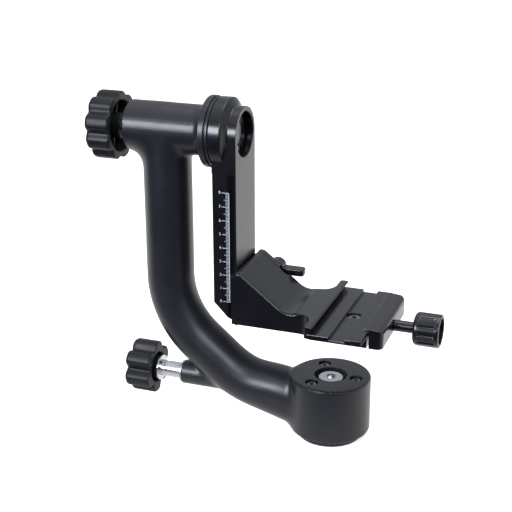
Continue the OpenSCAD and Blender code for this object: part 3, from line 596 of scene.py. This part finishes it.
def cast_arm():
    """The cast J arm with its bored base, in one piece."""
    rough = together(rough_tube(),
                     bar("X", HOUSING_END, CAP_OUT, HOUSING_R, AT_TILT),
                     bar("X", CAP_OUT - 4, CAP_OUT, HOUSING_R + 2.5, AT_TILT),
                     bar("Z", BASE_BOTTOM, BASE_TOP, BASE_R),
                     bar("X", BOSS_OUT, -20, BOSS_R, AT_PAN_LOCK))
    blank = in_scene("rough_casting", mesh_of(rough, "rough_casting"))
    skin = blank.modifiers.new("one skin", "REMESH")
    skin.mode, skin.voxel_size = "VOXEL", 1.25
    bm = off_bench(blank)
    bmesh.ops.bisect_plane(bm, geom=[*bm.verts, *bm.edges, *bm.faces], clear_outer=True,
                           plane_co=(0, 0, BASE_BOTTOM + 0.4), plane_no=(0, 0, -1))
    bmesh.ops.holes_fill(bm, edges=bm.edges, sides=0)
    hugged(bm)
    for _ in range(2):
        bm.normal_update()
        tight = [e for e in bm.edges if e.is_manifold and e.calc_face_angle(0) > radians(11)]
        bmesh.ops.subdivide_edges(bm, edges=tight, cuts=1, use_grid_fill=True)
        hugged(bm, 3)
    bmesh.ops.triangulate(bm, faces=[f for f in bm.faces if len(f.verts) > 4])
    faced_out(bm)
    bearing_bore, cover_bore, counterbore = 22.5, 11.8, 4.7
    pan_lock_bore, tilt_lock_bore, axle_bore = 4.06, 6.5, 10.6
    above = BASE_TOP + 4
    core = 0.01
    cuts = [ring("Z", BASE_BOTTOM - 4, CARTRIDGE_TOP, bearing_bore, core),
            drill("Z", CARTRIDGE_TOP - 1, above, cover_bore, sides=64),
            *[drill("Z", SCREW_FLOOR, above, counterbore, spot) for spot in SCREW_SPOTS],
            drill("X", -130, -20, pan_lock_bore, AT_PAN_LOCK),
            drill("X", -165, -136, tilt_lock_bore, (0, 0, LOCK_Z)),
            drill("X", -137, -80, axle_bore, AT_TILT, 64)]
    bm = worked(bm, cuts, tidy=False)
    deliver(bm, "cast_j_arm", "yoke", COAT, "j_arm", steep=radians(28))


cast_arm()


# --- tripod side and base ---

def foot():
    """The disc that stands on the tripod, with the hollow spindle that the yoke turns on."""
    disc, shoulder, spindle, bore = 23.2, 12.1, 10, 7.1
    disc_top, shoulder_top = 4.5, 7.9
    profile = [(0, bore), (0, disc), (disc_top, disc), (disc_top, shoulder), (shoulder_top, shoulder),
               (shoulder_top, spindle), (CARTRIDGE_TOP, spindle), (CARTRIDGE_TOP, bore)]
    return lathed(profile, [0.2, 0.6, 0.6, 0.2, 0.3, 0, 0.3, 0], "Z", closed=True)


deliver(foot(), "foot_plate", "tripod_base", ANODISED, "foot_spindle")


def capped_bolt():
    """The large bolt that closes the pan bearing: a turned head with a hexagon socket."""
    bolt = stepped("Z", (0, 0, 0), bottom=23, shank=4, seat=SCREW_FLOOR, head=9, top=SCREW_TOP,
                   ease=[0, 0.3, 0, 0.3, 0.8, 0], sides=80, steps=4)
    dish = [(44.0, 0), (44.0, 3.4), (44.6, 4.1), (45, 4.1), (45, 0)]
    return worked(bolt, [hexagon(6, 41.4, 46, "Z", (0, 0, 0), radians(12)), turned(dish, "Z", steps=48)])


def socket_screw(spot):
    """A socket head screw standing in its counterbore."""
    screw = stepped("Z", spot, bottom=30, shank=2, seat=SCREW_FLOOR, head=3.5, top=SCREW_TOP,
                    ease=[0, 0.2, 0, 0.2, 0.5, 0])
    return worked(screw, [hexagon(3, 42.5, 46, "Z", spot, radians(20))])


deliver(capped_bolt(), "pan_bolt_head", "tripod_base", BRIGHT, "pan_bolt")
deliver(together(*[socket_screw(spot) for spot in SCREW_SPOTS]), "cartridge_screws", "yoke", GROUND,
        "cap_screws")


# --- tilt bearing cap ---

def bearing_flange():
    """The fixed cap of the tilt bearing: a broad ring, a groove and a narrow ring."""
    bore, broad, groove, narrow = 10.5, 25, 23.5, 24.4
    groove_out, groove_in = -85.7, -84.7
    profile = [(CAP_OUT, bore), (CAP_OUT, broad), (groove_out, broad), (groove_out, groove),
               (groove_in, groove), (groove_in, narrow), (CAP_IN, narrow), (CAP_IN, bore)]
    return lathed(profile, [0, 1.0, 0.5, 0.2, 0.2, 0.3, 0.3, 0], "X", AT_TILT, 128, 4, closed=True)


deliver(bearing_flange(), "tilt_bearing_flange", "yoke", COAT, "tilt_bearing_cap")


# --- swing arm ---

def swing_arm():
    """The hanging rail with its round head, smooth shoulder, grooved edges and deep pocket."""
    groove = 2.8
    lip = ARM_IN - 1.2
    outline = [(ARM_OUT, -RAIL_HALF), (lip - 2 * groove, -RAIL_HALF), (lip - groove, -RAIL_HALF + groove),
               (lip, -RAIL_HALF), (ARM_IN, -RAIL_HALF), (ARM_IN, RAIL_HALF), (lip, RAIL_HALF),
               (lip - groove, RAIL_HALF - groove), (lip - 2 * groove, RAIL_HALF), (ARM_OUT, RAIL_HALF)]
    ease = [0.8, 0.25, 0.25, 0.2, 0.35, 0.35, 0.2, 0.25, 0.25, 0.8]
    rail = extruded(rounded(outline, ease, steps=2), "Z", ARM_BOTTOM, TILT_Z - HEAD_R + 1)
    plain = [(ARM_OUT, -RAIL_HALF), (ARM_IN, -RAIL_HALF), (ARM_IN, RAIL_HALF), (ARM_OUT, RAIL_HALF)]
    neck = extruded(rounded(plain, [0, 0.35, 0.35, 0], steps=2), "Z", TILT_Z - HEAD_R, TILT_Z)
    crown = lathed([(ARM_OUT, 0), (ARM_OUT, RAIL_HALF), (ARM_IN, RAIL_HALF), (ARM_IN, 0)],
                   [0, 0, 0.35, 0], "X", AT_TILT, 128, 2)
    wide_end, run, inside = -74.6, 4.4, -69.8
    shoulder = [(HEAD_OUT, 0)] + rounded([(HEAD_OUT, 8), (HEAD_OUT, HEAD_R), (wide_end, HEAD_R)],
                                         [0, 0.5, 0], closed=False, steps=3)[1:]
    for k in range(1, 15):
        t = k / 14
        shoulder.append((wide_end + run * t, HEAD_R - (HEAD_R - RAIL_HALF - 0.02) * smooth_step(t)))
    shoulder += [(inside, RAIL_HALF), (inside, 0)]
    head = turned(shoulder, "X", AT_TILT, 128)
    arm = worked(rail, [neck, crown, head], "UNION")
    pocket = turned([(ARM_IN - 9, 0), (ARM_IN - 9, POCKET_R), (ARM_IN - 0.55, POCKET_R),
                     (ARM_IN + 0.45, 16.7), (ARM_IN + 2, 16.7), (ARM_IN + 2, 0)], "X", AT_TILT, 128)
    below = 81.4
    toe = extruded([(ARM_OUT - 1, below), (ARM_OUT - 1, ARM_BOTTOM + 17), (ARM_OUT, ARM_BOTTOM + 16),
                    (ARM_OUT + 17, below)], "Y", -30, 30)
    axle_hole, seat_hole, stop_hole = 8.55, 1.5, 0.85
    hole = drill("X", -95, -60, axle_hole, AT_TILT, 128)
    seat = drill("X", ARM_IN - 5, ARM_IN + 1, seat_hole, SET_SCREW_SPOT, 32)
    stops = [drill("X", ARM_IN - 6, ARM_IN + 1, stop_hole, (0, y, 84.1), 24) for y in (-10, 10)]
    return worked(arm, [pocket, hole, toe, seat, *stops])


deliver(swing_arm(), "swing_arm_rail", "swing", ANODISED, "swing_arm")


def pocket_set_screw():
    """The small bright screw in the pocket's wall, with its hexagon socket."""
    pin = bar("X", ARM_IN - 5, ARM_IN - 0.4, 1.42, SET_SCREW_SPOT, edge=0.25, sides=32)
    return worked(pin, [hexagon(1.4, ARM_IN - 2, ARM_IN + 1, "X", SET_SCREW_SPOT)])


deliver(pocket_set_screw(), "arm_set_screw_head", "swing", BRIGHT, "arm_set_screw")


def ruler():
    """Painted ruler on the rail's front edge: a line, millimetre ticks and plain numbers."""
    skin = 0.03
    face = -RAIL_HALF - skin
    line_x, low = -69.6, 99.6
    length_mm, numeral_height, numeral_gap = 80, 3.0, 5.9
    upright = Matrix.Rotation(pi / 2, 3, "X")
    marks = [block((line_x, face, low - 0.2), (line_x + 0.35, face + 0.1, low + length_mm + 0.2))]
    for k in range(length_mm + 1):
        length = 5.2 if k % 10 == 0 else 3.6 if k % 5 == 0 else 2.3
        thick = 0.14 if k % 10 else 0.19
        marks.append(block((line_x - length, face, low + k - thick), (line_x, face + 0.1, low + k + thick)))
    for k in range(length_mm // 10 + 1):
        letters = bpy.data.curves.new("numeral", "FONT")
        letters.body = str(k)
        letters.size, letters.extrude = numeral_height, skin
        letters.align_x, letters.align_y = "RIGHT", "CENTER"
        writing = in_scene("numeral", letters)
        digit = shell_of(writing)
        bpy.data.objects.remove(writing)
        bpy.data.curves.remove(letters)
        bmesh.ops.remove_doubles(digit, verts=digit.verts, dist=1e-5)
        bmesh.ops.rotate(digit, verts=digit.verts, cent=(0, 0, 0), matrix=upright)
        bmesh.ops.translate(digit, verts=digit.verts, vec=(line_x - numeral_gap, -RAIL_HALF, low + 10 * k))
        marks.append(digit)
    return together(*marks)


deliver(ruler(), "arm_ruler", "swing", SCALE_PAINT)


# --- platform ---

LIP_X, ROOT_X = -1.0, -4.5
CLAMP_LEFT, CLAMP_RIGHT = -7.0, 33.1
CHANNEL = (10.75, 21.35)
HALF_BRACKET, HALF_CLAMP = 24.5, 45.5
SLOPE = radians(38)
CRADLE_R = 14.0
CREST_X = BRACKET_X + 3.5
SLOPE_RISE = 29.4 - 3.8
SLOPE_FOOT = CREST_X + SLOPE_RISE / tan(SLOPE)
SLOPE_Z = BRACKET_TOP - SLOPE_RISE
CRADLE_X = SLOPE_FOOT + CRADLE_R * tan(SLOPE / 2)
SPLIT_X, SPLIT_Y = -47.2, 20.2
LEVER_X, LEVER_Z = -52.2, 110.5
AT_LEVER = (LEVER_X, 0, LEVER_Z)
JAW_SIDE = 26.8
INNER_CORNER = 10
RECESS_X = 16.05


def platform_profile():
    """Side outline of bracket, cradle, lip and clamp floor, in X and Z."""
    lip_top = FLOOR_Z + 5
    cradle = [(CRADLE_X + CRADLE_R * sin(a), SLOPE_Z + CRADLE_R * (1 - cos(a)))
              for a in np.linspace(-SLOPE, radians(46), 22)]
    while cradle[-1][1] > lip_top - 0.4:
        cradle.pop()
    crest = 0.9
    crown = rounded([(BRACKET_X, BASE_Z + 10), (BRACKET_X, BRACKET_TOP - crest * tan(SLOPE)),
                     (CREST_X + crest, BRACKET_TOP - crest * tan(SLOPE)), (SLOPE_FOOT, SLOPE_Z)],
                    [0, 1.9, 6.0, 0], closed=False, steps=7)[1:-1]
    floor = [(LIP_X - 1.6, lip_top), (LIP_X, lip_top - 0.5), (LIP_X, FLOOR_Z + 4.0), (ROOT_X, FLOOR_Z + 0.5),
             (ROOT_X, FLOOR_Z), (CHANNEL[0], FLOOR_Z), (CHANNEL[0], FLOOR_Z - 2), (CHANNEL[1], FLOOR_Z - 2),
             (CHANNEL[1], FLOOR_Z), (CLAMP_RIGHT, FLOOR_Z), (CLAMP_RIGHT, BASE_Z)]
    return [(BRACKET_X, BASE_Z)] + crown + cradle + floor


def platform_plan():
    """Plan outline: bracket, a round inner corner, and the long clamp."""
    half = rounded([(BRACKET_X, -HALF_BRACKET), (CLAMP_LEFT, -HALF_BRACKET), (CLAMP_LEFT, -HALF_CLAMP),
                    (CLAMP_RIGHT, -HALF_CLAMP)], [0, INNER_CORNER, 2, 0], closed=False, steps=9)
    half = half[:-1] + rounded([(CLAMP_LEFT, -HALF_CLAMP), (CLAMP_RIGHT, -HALF_CLAMP), (CLAMP_RIGHT, 0)],
                               [0, 2, 0], closed=False, steps=6)[1:-1]
    return half + [(x, -y) for x, y in reversed(half)]


def hook(outer, inner):
    """Plan outline of the hook that holds the rail's groove on the -Y side."""
    tip_x, tip_y = ARM_IN - 1.2 - 2.8, RAIL_HALF - 2.8
    return [(BRACKET_X + 0.5, -outer), (tip_x + 2, -outer), (tip_x - 0.2, -tip_y - 1.5),
            (tip_x + 0.4, -tip_y - 0.7), (ARM_IN - 1.35, -RAIL_HALF - 0.1),
            (BRACKET_X - 0.1, -RAIL_HALF - 0.1), (BRACKET_X - 0.1, -inner), (BRACKET_X + 0.5, -inner)]


def gripper(outline):
    """A hook of this plan outline, as high as the bracket's grip on the rail."""
    return softened(extruded(outline, "Z", BASE_Z, BASE_Z + HOOK_HEIGHT), 0.25, 30, 2)


def platform():
    """Bracket, cradle and clamp base in one milled piece."""
    bm = worked(extruded(platform_profile(), "Y", -50, 50),
                [extruded(platform_plan(), "Z", BASE_Z - 1, BRACKET_TOP + 2)], "INTERSECT")

    def front_rim(edge):
        a, b = edge.verts
        middle = (a.co + b.co) / 2
        return (all(abs(v.co.y + HALF_BRACKET) < 0.02 for v in (a, b)) and middle.x < -18
                and middle.z > FLOOR_Z + 1 and abs(a.co.x - b.co.x) > 0.02)
    softened(bm, 1.5, 30, 1, front_rim)
    below, beyond, undercut = BASE_Z - 1, CLAMP_RIGHT + 1, HALF_CLAMP - HALF_BRACKET - INNER_CORNER + 3
    cuts = [block((-18, -HALF_CLAMP - 1, below), (beyond, -HALF_CLAMP + undercut, FLOOR_Z - 3.4)),
            block((-18, HALF_CLAMP - undercut, below), (beyond, HALF_CLAMP + 1, FLOOR_Z - 3.4)),
            block((BRACKET_X - 1, SPLIT_Y, below), (SPLIT_X, 60, BRACKET_TOP + 2)),
            drill("Y", -4, 40, LOCK_BORE, AT_LEVER),
            drill("X", CLAMP_RIGHT - 11, beyond, LOCK_BORE, AT_CLAMP)]
    guide_bore, spring_bore, scoop = 2.52, 3.7, 16
    for s in (-1, 1):
        cuts += [drill("X", CLAMP_RIGHT - 16, beyond, guide_bore, (0, GUIDE_Y * s, CLAMP_Z)),
                 drill("X", CLAMP_RIGHT - 4, beyond, spring_bore, (0, GUIDE_Y * s, CLAMP_Z)),
                 drill("Z", below, FLOOR_Z - 2.6, scoop, (20.05, s * (HALF_CLAMP + 14), 0), 96)]
    notch_r, notch = 4.5, (SPLIT_X + 3.9, HALF_BRACKET + 0.3, 0)
    cuts.append(drill("Z", LEVER_Z - 8, LEVER_Z + 12, notch_r, notch))
    bm = worked(bm, cuts)
    softened(bm, 0.35, 35, 2)
    recess, screw_hole, middle = 5.2, 2.5, (RECESS_X, 0, 0)
    bm = worked(bm, [drill("Z", FLOOR_Z - 7, FLOOR_Z + 1, recess, middle, 64),
                     drill("Z", below, FLOOR_Z, screw_hole, middle, 32)], tidy=False)
    return together(bm, gripper(hook(HALF_BRACKET, RAIL_HALF)))


deliver(platform(), "platform_body", "lens_platform", ANODISED, "platform")


def centre_screw():
    """The screw in the clamp floor's round recess."""
    screw = stepped("Z", (RECESS_X, 0, 0), bottom=BASE_Z, shank=2.5, seat=89, head=4.5, top=92.8,
                    ease=[0, 0, 0, 0.2, 0.4, 0])
    return worked(screw, [hexagon(4, 90.6, 94, "Z", (RECESS_X, 0, 0), radians(10))])


deliver(centre_screw(), "clamp_floor_screw", "lens_platform", GROUND, "clamp_centre_screw")


def coil(start, end, middle, wire, turns, y, z):
    """A real wound spring along X; middle is the radius at the middle of the wire."""
    bm = bmesh.new()
    whole = 20 * turns
    bmesh.ops.create_circle(bm, segments=10, radius=wire, matrix=Matrix.Translation((0, middle, 0)))
    bmesh.ops.spin(bm, geom=[*bm.verts, *bm.edges], cent=(0, 0, 0), axis=(1, 0, 0), angle=2 * pi * turns,
                   steps=whole, dvec=((end - start - 2 * wire) / whole, 0, 0))
    bmesh.ops.holes_fill(bm, edges=bm.edges, sides=0)
    return faced_out(laid(bm, "X", (start + wire, y, z)))


def jaw_springs():
    """The two springs that open the clamp, one round each guide pin."""
    start, end, middle, wire, turns = CLAMP_RIGHT - 3.8, CLAMP_RIGHT + 0.05, 3.05, 0.42, 3
    return together(*[coil(start, end, middle, wire, turns, GUIDE_Y * s, CLAMP_Z) for s in (-1, 1)])


deliver(jaw_springs(), "jaw_springs", "lens_platform", BRIGHT, "clamp_springs")


# --- height lock ---

def rear_jaw():
    """The loose strip behind the bracket that clamps the rail."""
    strip = worked(extruded(platform_profile(), "Y", SPLIT_Y + 0.2, JAW_SIDE),
                   [block((BRACKET_X - 1, 0, BASE_Z - 1), (SPLIT_X - 0.2, 60, BRACKET_TOP + 2))], "INTERSECT")
    pin_bore = 1.55
    strip = worked(strip, [drill("Y", 0, 60, LOCK_BORE, AT_LEVER),
                           *[drill("Y", SPLIT_Y - 1, SPLIT_Y + 5, pin_bore, (LEVER_X, 0, z), 24)
                             for z in (BASE_Z + 5, FLOOR_Z + 5)]])
    softened(strip, 0.4, 35, 2)
    return together(strip, gripper([(x, -y) for x, y in reversed(hook(JAW_SIDE - 1, SPLIT_Y + 0.2))]))


deliver(rear_jaw(), "rear_rail_jaw", "height_clamp", ANODISED, "height_jaw")


def lever():
    """The height lever: a round hub with a flat, round-ended paddle."""
    start, end = JAW_SIDE + 0.1, JAW_SIDE + 10.1
    radius, bore, tip = 6.3, 3.0, LEVER_X + 21.5
    profile = [(start, 0), (start, radius), (end, radius), (end, 0)]
    hub = lathed(profile, [0, 0.5, 1.2, 0], "Y", AT_LEVER, 80, 5)
    plan = rounded([(LEVER_X, start + 0.6), (tip, start + 0.6), (tip, start + 9.4), (LEVER_X, start + 9.4)],
                   [0, 2.6, 2.6, 0], steps=6)
    paddle = extruded(plan, "Z", LEVER_Z - 4.3, LEVER_Z + 0.9)
    softened(paddle, 0.9, 60, 3, lambda e: abs(e.verts[0].co.z - e.verts[1].co.z) < 0.01)
    bm = worked(hub, [paddle], "UNION")
    return softened(worked(bm, [drill("Y", 0, 60, bore, AT_LEVER)]), 0.25, 40, 2)


deliver(lever(), "height_lever_paddle", "height_handle", ANODISED, "height_lever")


# --- clamp ---

def front_jaw():
    """The sliding jaw of the plate clamp."""
    root, lip, out, low, top, half = 35.0, 31.5, 44.5, 86.5, 100.7, 34
    profile = rounded([(root, low), (out, low), (out, top - 1), (lip + 2, top), (lip, top), (lip, top - 0.8),
                       (root, top - 0.8 - 3.5)], [0.5, 0.8, 4.0, 0.6, 0.3, 0.3, 0.3], steps=5)
    bm = extruded(profile, "Y", -half, half)
    plan = rounded([(lip - 2, -half), (out, -half), (out, half), (lip - 2, half)], [0, 4.5, 4.5, 0], steps=8)
    bm = worked(bm, [extruded(plan, "Z", low - 1, top + 1)], "INTERSECT")
    softened(bm, 0.45, 40, 2)
    guide_bore, guide_end = 2.55, 43.3
    cuts = [drill("X", root - 1, out + 2, LOCK_BORE, AT_CLAMP)]
    cuts += [drill("X", root - 1, guide_end, guide_bore, (0, GUIDE_Y * s, CLAMP_Z)) for s in (-1, 1)]
    return worked(bm, cuts)


deliver(front_jaw(), "front_clamp_jaw", "clamp_slide_jaw", ANODISED, "clamp_jaw")


def clamp_shaft():
    """The clamp screw's turned shaft and neck."""
    return stepped("X", AT_CLAMP, bottom=24, shank=2.98, seat=44.6, head=4.0, top=63.9,
                   ease=[0, 0.4, 0, 0.4, 0.3, 0], sides=64)


deliver(clamp_shaft(), "clamp_screw_shaft", "clamp_handle", ANODISED, "clamp_screw")


def lobed_ring(bm, sides, place, reach_at):
    """One closed ring of points across X; reach_at gives its radius at an angle from -Y towards +Z."""
    made = bmesh.ops.create_circle(bm, segments=sides, radius=1)
    for vert in made["verts"]:
        angle = atan2(vert.co.y, vert.co.x)
        reach = reach_at(angle)
        vert.co = (place, -reach * cos(angle), reach * sin(angle))
    verts = set(made["verts"])
    return [e for v in verts for e in v.link_edges if e.verts[0] in verts and e.verts[1] in verts]


def loft(rings, sides, centre):
    """A closed shell over rings given as (place, radius or radius rule), from one end to the other."""
    bm = bmesh.new()
    loops = [list(set(lobed_ring(bm, sides, place, rule if callable(rule) else (lambda a, r=rule: r))))
             for place, rule in rings]
    for first, second in zip(loops, loops[1:]):
        bmesh.ops.bridge_loops(bm, edges=first + second)
    bmesh.ops.holes_fill(bm, edges=loops[0] + loops[-1], sides=0)
    return laid(faced_out(bm), "X", centre)


def clamp_knob():
    """The small clamp knob: broad flutes round it, a plain rim and a recessed end."""
    start, end, radius = 58.9, 77.1, 11.7
    flutes = 12

    def fluted(depth):
        return lambda a: radius - 0.05 - depth * max(0.0, cos(flutes * a)) ** 0.8
    rings = [(start, 4.2), (start, 9.0)]
    rings += [(start + 2.6 * (1 - cos(t)), 9.0 + 2.6 * sin(t)) for t in np.linspace(0.25, pi / 2, 6)]
    rings += [(start + 3.0, fluted(0.0)), (start + 3.8, fluted(0.85)), (start + 5, fluted(1.1)),
              (end - 4.4, fluted(1.1)), (end - 3.4, fluted(0.85)), (end - 2.7, fluted(0.0)),
              (end - 1.0, radius), (end - 0.45, radius - 0.15), (end, radius - 0.7), (end, radius - 2.0),
              (end - 0.4, radius - 2.4), (end - 5.1, radius - 2.45)]
    return loft(rings, 192, AT_CLAMP)


deliver(clamp_knob(), "clamp_knob_body", "clamp_handle", ANODISED, "clamp_knob")


def knob_end():
    """The dark plate in the clamp knob's end, with its hexagon."""
    start, radius, flat = 72.1, 9.15, 5.6
    profile = [(start, 0), (start, radius), (start + 1.6, radius), (start + 2.0, flat), (start + 2.0, 0)]
    disc = lathed(profile, [0, 0, 0.4, 0.4, 0], "X", AT_CLAMP, 64)
    return worked(disc, [hexagon(4.4, start + 0.8, start + 4, "X", AT_CLAMP, radians(15))])


deliver(knob_end(), "clamp_knob_plate", "clamp_handle", MOULDED, "clamp_knob_cap")


# --- star knobs ---

def star_knob(inner, length, radius, lobes, first_lobe, groove, bore, hub, centre_z, eased=3.2):
    """A moulded star knob: lobed outside, rounded outer end, hollow inside round a hub with ribs."""
    outer = inner - length

    def outline(angle, shrink=0.0):
        dip = ((1 - cos(lobes * (angle - first_lobe))) / 2) ** 2.2
        return radius - shrink - groove * dip
    hollow = radius - groove - 3.0
    depth = inner - length * 0.55
    rings = [(outer, radius - groove - eased - 1.5)]
    for t in np.linspace(0, pi / 2, 8):
        rings.append((outer + eased * (1 - cos(t)), lambda a, less=eased * (1 - sin(t)): outline(a, less)))
    rings += [(inner - 1.2, outline), (inner - 0.6, lambda a: outline(a, 0.12)),
              (inner - 0.15, lambda a: outline(a, 0.5)), (inner, lambda a: outline(a, 1.1)),
              (inner, hollow + 0.8), (inner - 0.8, hollow), (depth + 0.6, hollow - 0.5),
              (depth, hollow - 1.1), (depth, hub + 0.7), (depth + 0.6, hub), (inner + 0.6, hub - 0.2),
              (inner + 1.0, hub - 0.7), (inner + 1.0, bore + 0.5), (inner + 0.5, bore), (depth + 0.5, bore)]
    body = loft(rings, 24 * lobes, (0, 0, centre_z))
    ribs = []
    for k in range(lobes):
        rib = block((depth - 0.5, hub - 0.6, -0.8), (inner - 6.0, hollow + 0.4, 0.8))
        softened(rib, 0.3, 60, 2)
        turn = Matrix.Rotation(pi - first_lobe - 2 * pi * (k + 0.5) / lobes, 3, "X")
        bmesh.ops.rotate(rib, verts=rib.verts, cent=(0, 0, 0), matrix=turn)
        ribs.append(laid(rib, "X", (0, 0, centre_z)))
    return together(body, *ribs)


deliver(star_knob(inner=-157.5, length=18.2, radius=24.3, lobes=9, first_lobe=radians(16), groove=3.1,
                  bore=4.0, hub=9.0, centre_z=LOCK_Z),
        "tilt_star_knob", "tilt_handle", MOULDED, "tilt_knob")
deliver(star_knob(inner=-135.8, length=20.0, radius=19.7, lobes=6, first_lobe=radians(40), groove=5.2,
                  bore=6.0, hub=8.5, centre_z=PAN_LOCK_Z),
        "pan_star_knob", "pan_handle", MOULDED, "pan_knob")


def pan_stem():
    """The bright stem of the pan lock, stepped, with its thread run-out."""
    thick, thin, groove = 6, 4, 5.5
    outer, step, inner = -143.5, -116, -20.3
    profile = [(outer, 0), (outer, thick), (-129.5, thick), (-129.1, groove), (-128.1, groove),
               (-127.7, thick), (step, thick), (step, thin), (inner, thin), (inner, 0)]
    return lathed(profile, [0, 0.3, 0.1, 0.1, 0.1, 0.1, 0.7, 0.2, 0.4, 0], "X", AT_PAN_LOCK, 72)


def pan_collar():
    """The bright bush in the boss: a flange outside and a sleeve that the stem turns in."""
    bore, sleeve, flange = 4.05, 6, 8.3
    outer, inner = -115.5, -102
    profile = [(outer, bore), (outer, flange), (BOSS_OUT, flange), (BOSS_OUT, sleeve), (inner, sleeve),
               (inner, bore)]
    return lathed(profile, [0, 0.3, 0.3, 0, 0.1, 0], "X", AT_PAN_LOCK, closed=True)


deliver(pan_stem(), "pan_lock_stem", "pan_handle", BRIGHT, "pan_lock_screw")
deliver(ring("X", -133.8, -132.3, 9.5, 6.0, AT_PAN_LOCK, 0.35), "pan_stem_collar", "pan_handle",
        BRIGHT, "pan_stem_washer")
deliver(pan_collar(), "pan_lock_collar", "yoke", BRIGHT, "pan_lock_bush")


# --- studio ---

def camera():
    """The photograph's viewpoint."""
    azimuth, elevation, roll = radians(20.13), radians(20.47), radians(-0.16)
    focal_pixels, frame_pixels, sensor = 1134.0, 512.0, 36.0
    place = (0.20128, -0.70410, 0.40919)
    back = Vector((sin(azimuth) * cos(elevation), -cos(azimuth) * cos(elevation), sin(elevation)))
    level = Vector((cos(azimuth), sin(azimuth), 0))
    up = back.cross(level)
    right = level * cos(roll) + up * sin(roll)
    top = up * cos(roll) - level * sin(roll)
    lens = bpy.data.cameras.new("photo_camera")
    lens.sensor_width = sensor
    lens.lens = focal_pixels / frame_pixels * sensor
    lens.clip_start, lens.clip_end = 0.01, 50
    stand = in_scene("photo_camera", lens)
    stand.matrix_world = Matrix.Translation(place) @ Matrix((right, top, back)).transposed().to_4x4()
    bpy.context.scene.camera = stand


def soft_box(name, direction, distance, width, height, power, colour=(1, 1, 1)):
    """A rectangular soft light that points at the head."""
    aim = Vector((-0.06, 0, 0.12))
    place = aim + Vector(direction).normalized() * distance
    lamp = bpy.data.lights.new(name, "AREA")
    lamp.shape, lamp.size, lamp.size_y, lamp.energy = "RECTANGLE", width, height, power
    lamp.color = colour
    facing = (place - aim).to_track_quat("Z", "Y").to_matrix().to_4x4()
    in_scene(name, lamp).matrix_world = Matrix.Translation(place) @ facing


def surroundings():
    """White walls behind, beside and above; a darker room on the camera's side."""
    world = bpy.data.worlds.new("studio")
    bpy.context.scene.world = world
    world.use_nodes = True
    tree = world.node_tree
    sky = tree.nodes["Background"]
    way = parts_of(tree, coordinate(tree, "Generated"))
    behind = ramp(tree, way["Y"], -0.45, 0.15, 0.03, 0.60, eased=True)
    above = ramp(tree, way["Z"], 0.40, 0.95, 0.0, 1.0, eased=True)
    rightward = ramp(tree, way["X"], 0.45, 0.85, 0.0, 0.8, eased=True)
    bright = maths(tree, "MAXIMUM", maths(tree, "MAXIMUM", behind, above), rightward)
    eye = tree.nodes.new("ShaderNodeLightPath").outputs["Is Camera Ray"]
    tree.links.new(maths(tree, "MAXIMUM", bright, eye), sky.inputs["Strength"])
    tree.links.new(tinted(tree, eye, (0.90, 0.94, 1.0), (1.0, 1.0, 1.0)), sky.inputs["Color"])


def pale_floor():
    """The floor: pale to the camera, dark in front and bright behind for what mirrors it."""
    bm = bmesh.new()
    bmesh.ops.create_grid(bm, x_segments=1, y_segments=1, size=6)
    mesh = mesh_of(bm, "floor")
    paper, tree, shader = new_finish("pale_floor")
    shader.inputs["Roughness"].default_value = 0.9
    shader.inputs["Specular IOR Level"].default_value = 0.0
    eye = tree.nodes.new("ShaderNodeLightPath").outputs["Is Camera Ray"]
    tree.links.new(tinted(tree, eye, (0.02, 0.02, 0.02), (0.92, 0.92, 0.92)), shader.inputs["Base Color"])
    behind = ramp(tree, parts_of(tree, coordinate(tree))["Y"], -0.22, 0.10, 0.02, 1.30, eased=True)
    shader.inputs["Emission Strength"].default_value = 1.0
    tree.links.new(tinted(tree, eye, behind, (0.62, 0.62, 0.62)), shader.inputs["Emission Color"])
    mesh.materials.append(paper)
    in_scene("floor", mesh)


camera()
surroundings()
pale_floor()
soft_box("front_left_box", (-0.43, -0.83, 0.35), 1.15, 0.75, 0.34, 16.0, (0.84, 0.90, 1.0))
soft_box("front_right_box", (0.40, -0.78, 0.55), 1.15, 0.60, 0.30, 5.0, (0.84, 0.90, 1.0))
soft_box("top_box", (0.15, 0.25, 1.0), 1.2, 0.9, 0.9, 6.0)
view = bpy.context.scene.view_settings
view.view_transform, view.look = "Standard", "None"

bpy.context.view_layer.update()
